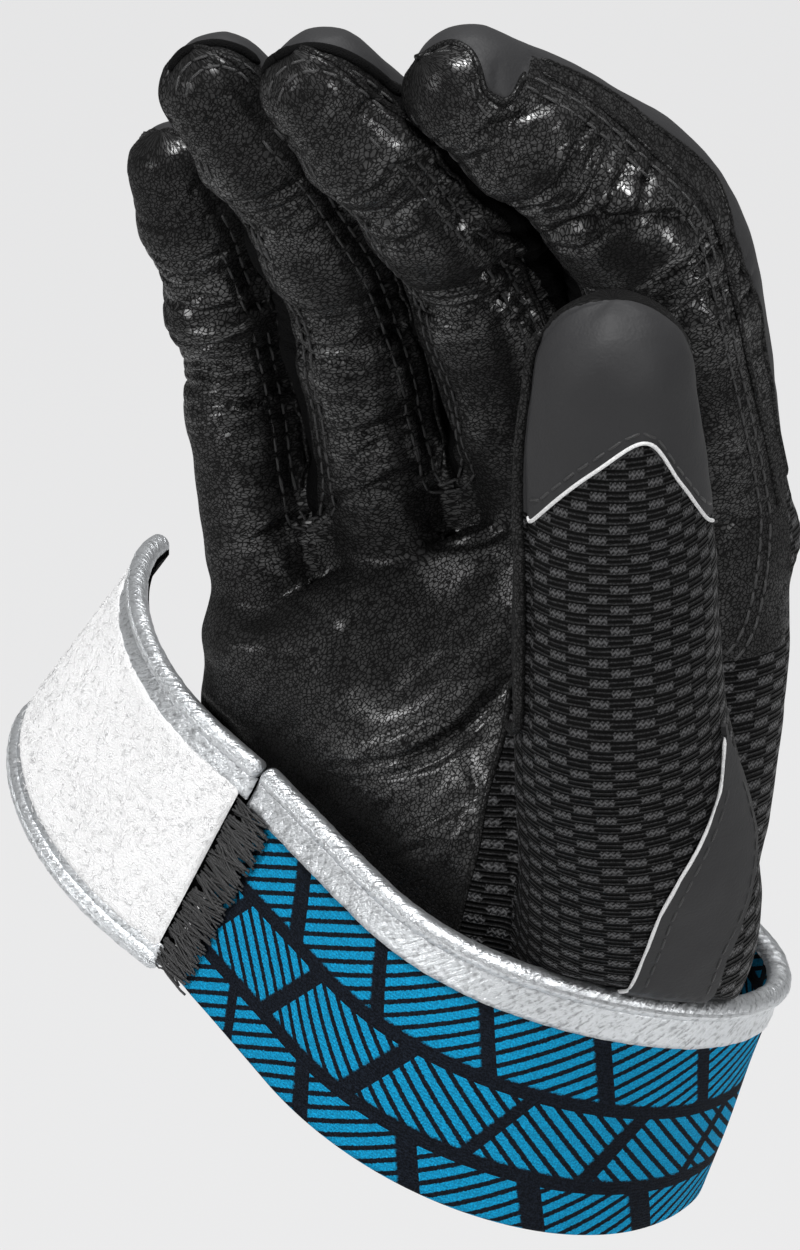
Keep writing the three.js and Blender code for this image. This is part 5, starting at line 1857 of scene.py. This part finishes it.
class GLOVE_OT_loop_tab(bpy.types.Operator):
    """Builds the loop tab: its base, the white fibres and the two bindings"""

    bl_idname = "glove.loop_tab"
    bl_label = "Loop tab"

    def execute(self, context):
        start, end = BAND_LENGTH, BAND_LENGTH + TAB_LENGTH
        cloth = band_piece((start + 0.8, end), (0.2, CUFF_HEIGHT), 0, 2.0, self.waves)
        base = self.add("loop_tab_base_cloth", cloth, "stretch", "loop_tab_base")
        cut_from_sheet(base, CUFF_HEIGHT, TAB_LENGTH, None, "hung")
        face = (start + 2.6, end - 0.6)
        pad = band_piece(face, (2.8, CUFF_HEIGHT - 4.4), 1.3, 1.2, self.fluff)
        self.add("loop_pad_face", joined([pad, self.fibres(face)]), "loop", "loop_pad")
        ridge = ridge_piece((start + 0.75, end + 0.4), CUFF_HEIGHT - 0.2, 0.5, 1.65, 1.1, 82, blunt=0.6)
        flat = band_piece((start + 0.8, end), (CUFF_HEIGHT - 5.6, CUFF_HEIGHT - 1.4), 0.95, 1.0, crinkles)
        self.add("loop_tab_top_binding_ridge", joined([ridge, flat]), "silver", "loop_tab_top_binding")
        ridge = ridge_piece((start + 1.2, end + 0.4), 0.4, 0.0, 1.7, 1.1, 84)
        flat = band_piece((start + 1.6, end), (1.2, 3.9), 0.95, 1.0, crinkles)
        self.add("loop_tab_low_binding_ridge", joined([ridge, flat]), "silver", "loop_tab_low_binding")
        return {"FINISHED"}

    @staticmethod
    def add(name, skin, kind, node):
        obj = piece(name, skin, kind, node)
        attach(obj, "loop_tab")
        return obj

    @staticmethod
    def waves(s, h):
        return 0.25 * noise_over(s / 15, h / 15, 76)

    @staticmethod
    def fluff(s, h):
        """The pad's uneven nap, and the crease near its sewn end."""
        nap = sum(size * noise_over(s / width, h / width, seed) for size, width, seed in NAP)
        return nap - 0.45 * hump(s - BAND_LENGTH - 6.5, 0.5)

    @staticmethod
    def fibres(face):
        """Short bent fibres over the pad; the outer ones of the free end stand out past its edge."""
        rng = np.random.default_rng(4)
        count = bpy.context.scene.glove_sizes.loop_fibres
        outer = slice(0, count // 3)
        s = rng.uniform(face[0] + 0.4, face[1] - 0.2, count)
        s[outer] = face[1] - rng.uniform(0.1, 1.2, count // 3)
        h = rng.uniform(3.2, CUFF_HEIGHT - 4.8, count)
        turn, length = rng.uniform(0, 2 * np.pi, count), rng.uniform(0.6, 1.6, count)
        turn[outer] = rng.uniform(-1.2, 1.2, count // 3)
        bow = rng.uniform(0.1, 0.35, count)
        bow[outer] = rng.uniform(0.2, 1.0, count // 3)
        at = np.linspace(0, 1, 4)
        reach = length[:, None] * at
        along = np.clip(s[:, None] + np.cos(turn)[:, None] * reach, face[0], face[1] + 1.8)
        high = np.clip(h[:, None] + np.sin(turn)[:, None] * reach, 2.8, CUFF_HEIGHT - 4.4)
        path, out = cuff_face(along, high, 1.28 + bow[:, None] * np.sin(np.pi * at * 0.8))
        return joined([sweep(p, o, ring_profile(0.05, 3)) for p, o in zip(path, out)])


class GLOVE_OT_closure(bpy.types.Operator):
    """Builds the closure strap, its hook face and the pull tab"""

    bl_idname = "glove.closure"
    bl_label = "Closure"

    def execute(self, context):
        for name, kind, node, shape in (
            ("closure_strap_cloth", "print", "closure_strap", ((0, 50), (5, 35), -0.8, 0.8, 4)),
            ("hook_pad_face", "hook", "hook_pad", ((14, 36), (9, 31), -2.0, -0.8, 2)),
            ("pull_tab_moulding", "rubber", "pull_tab", ((38, 52), (11, 29), 0.8, 2.0, 3, 0.35)),
        ):
            obj = piece(name, self.slab(*shape), kind, node)
            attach(obj, "closure")
            if kind == "print":
                cut_from_sheet(obj, 30, 50, None, "hung")
        return {"FINISHED"}

    def slab(self, along, high, low_face, high_face, corner, ribs=0.0):
        """A flat slab in the strap's own frame, with rounded far corners and maybe ribs across it."""
        rib_step = 2.4
        a, h = np.meshgrid(even_steps(along, SHEET_STEP), even_steps(high, SHEET_STEP), indexing="ij")
        off = edge_round(a, h, min((high_face - low_face) / 2, 0.7))
        bumps = ribs * (np.sin(a * 2 * np.pi / rib_step) > 0.2) * (off <= 0)
        near = np.clip((a - along[1] + corner) / corner, 0, 1)
        middle, half = sum(high) / 2, (high[1] - high[0]) / 2
        h = middle + (h - middle) * (half - corner * (1 - np.sqrt(1 - near**2))) / half
        outer, inner = self.place(a, h, high_face - off + bumps), self.place(a, h, low_face + off)
        return sheet_of(outer, inner, np.stack([a, h, 0 * a], -1))

    @staticmethod
    def place(along, high, off):
        """The strap leaves the band's back end turned away from it by its opening angle."""
        turn = math.radians(162)
        x = WRIST_CENTRE[0] - 1.28 + along * math.cos(turn) - off * math.sin(turn)
        y = WRIST_CENTRE[1] + CUFF_DEPTH / 2 - 0.1 + along * math.sin(turn) + off * math.cos(turn)
        return in_cuff(x, y, high)


def background_share(tree):
    """How much of the pale background a ray sees: all but reflections, which see part of it."""
    light = add_node(tree, "ShaderNodeLightPath").outputs
    camera, through, glossy = (
        Wire(tree, light[f"Is {kind} Ray"]) for kind in ("Camera", "Transmission", "Glossy")
    )
    return camera + through + glossy * 0.3


class GLOVE_OT_stage(bpy.types.Operator):
    """Builds the floor, the lights and the camera"""

    bl_idname = "glove.stage"
    bl_label = "Stage"

    def execute(self, context):
        self.floor()
        self.world()
        self.lights()
        self.camera()
        return {"FINISHED"}

    @staticmethod
    def floor():
        """A wide disc whose far parts are as pale as the background."""
        low = (CAD_BOX[0][2] - bpy.context.scene.glove_sizes.floor_drop) / MM
        turn = np.linspace(0, 2 * np.pi, 97)[:-1]
        rings = np.stack([
            np.stack([np.cos(turn) * r, np.sin(turn) * r, np.full_like(turn, z)], 1)
            for r, z in ((5200, low - 20), (5200, low), (5190, low))
        ])
        f = Finish("stage_floor", (0.82, 0.82, 0.82), Roughness=0.9)
        glow = f.node("ShaderNodeEmission", None, {"Color": (0.83, 0.83, 0.835, 1), "Strength": 1.0})
        lit, share = Wire(f.tree, f.shader.outputs[0]), background_share(f.tree) * 0.93
        both = f.node("ShaderNodeMixShader", None, {0: share, 1: lit, 2: glow})
        connect(f.tree, both, f.tree.nodes["Material Output"].inputs["Surface"])
        make("floor", Skin(*closed_tube(rings)), f.material)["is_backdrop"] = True

    @staticmethod
    def world():
        world = bpy.data.worlds.new("studio")
        bpy.context.scene.world = world
        world.use_nodes = True
        tree = world.node_tree
        ground = tree.nodes["Background"].inputs
        connect(tree, (0.845, 0.845, 0.848, 1), ground["Color"])
        connect(tree, background_share(tree) * 0.9 + 0.1, ground["Strength"])

    @staticmethod
    def lights():
        target = Vector((0.01, 0.0, 0.08))
        for name, place, size, power in (
            ("key", (0.147, -0.371, 1.053), 0.3, 11.0),
            ("fill", (1.0, -0.45, 0.40), 0.22, 4.0),
            ("top", (0.05, 0.15, 1.1), 0.4, 4.0),
            ("low", (-0.55, -0.95, 0.35), 0.35, 3.6),
        ):
            data = bpy.data.lights.new(name, "AREA")
            data.shape, data.size, data.energy = "DISK", size, power
            obj = bpy.data.objects.new(name, data)
            obj.location = place
            obj.rotation_euler = (target - Vector(place)).to_track_quat("-Z", "Y").to_euler()
            bpy.context.scene.collection.objects.link(obj)

    @staticmethod
    def camera():
        """The camera a metre before the palm, with the ways that the front view's lines use."""
        right, up, back = (Vector(way) for way in FRONT)
        data = bpy.data.cameras.new("camera")
        data.sensor_width, data.lens = 36.0, 178.56
        obj = bpy.data.objects.new("camera", data)
        place = Vector(FRONT_EYE * MM @ FRONT)
        obj.matrix_world = Matrix.Translation(place) @ Matrix((right, up, back)).transposed().to_4x4()
        bpy.context.scene.collection.objects.link(obj)
        bpy.context.scene.camera = obj


STEPS = (
    GLOVE_OT_palm, GLOVE_OT_overlays, GLOVE_OT_fingers, GLOVE_OT_thumb, GLOVE_OT_stitching,
    GLOVE_OT_cuff, GLOVE_OT_loop_tab, GLOVE_OT_closure, GLOVE_OT_stage,
)


class GLOVE_PT_build(bpy.types.Panel):
    """Lists the steps that build the glove"""

    bl_idname = "GLOVE_PT_build"
    bl_label = "Batting glove"
    bl_space_type = "VIEW_3D"
    bl_region_type = "UI"
    bl_category = "Glove"

    def draw(self, context):
        for group in (context.scene.glove_sizes, context.scene.glove_colours):
            for key in group.__annotations__:
                self.layout.prop(group, key)
        for step in STEPS:
            self.layout.operator(step.bl_idname)


CLASSES = (GloveSizes, GloveColours, *STEPS, GLOVE_PT_build)


def register():
    for cls in CLASSES:
        bpy.utils.register_class(cls)
    bpy.types.Scene.glove_sizes = PointerProperty(type=GloveSizes)
    bpy.types.Scene.glove_colours = PointerProperty(type=GloveColours)


def unregister():
    del bpy.types.Scene.glove_colours, bpy.types.Scene.glove_sizes
    for cls in reversed(CLASSES):
        bpy.utils.unregister_class(cls)


def main():
    """Builds the glove step by step."""
    register()
    bpy.context.scene.view_settings.view_transform = "Standard"
    for step in STEPS:
        family, name = step.bl_idname.split(".")
        if getattr(getattr(bpy.ops, family), name)() != {"FINISHED"}:
            raise RuntimeError(f"{step.bl_label} was not built")


if __name__ == "__main__":
    main()
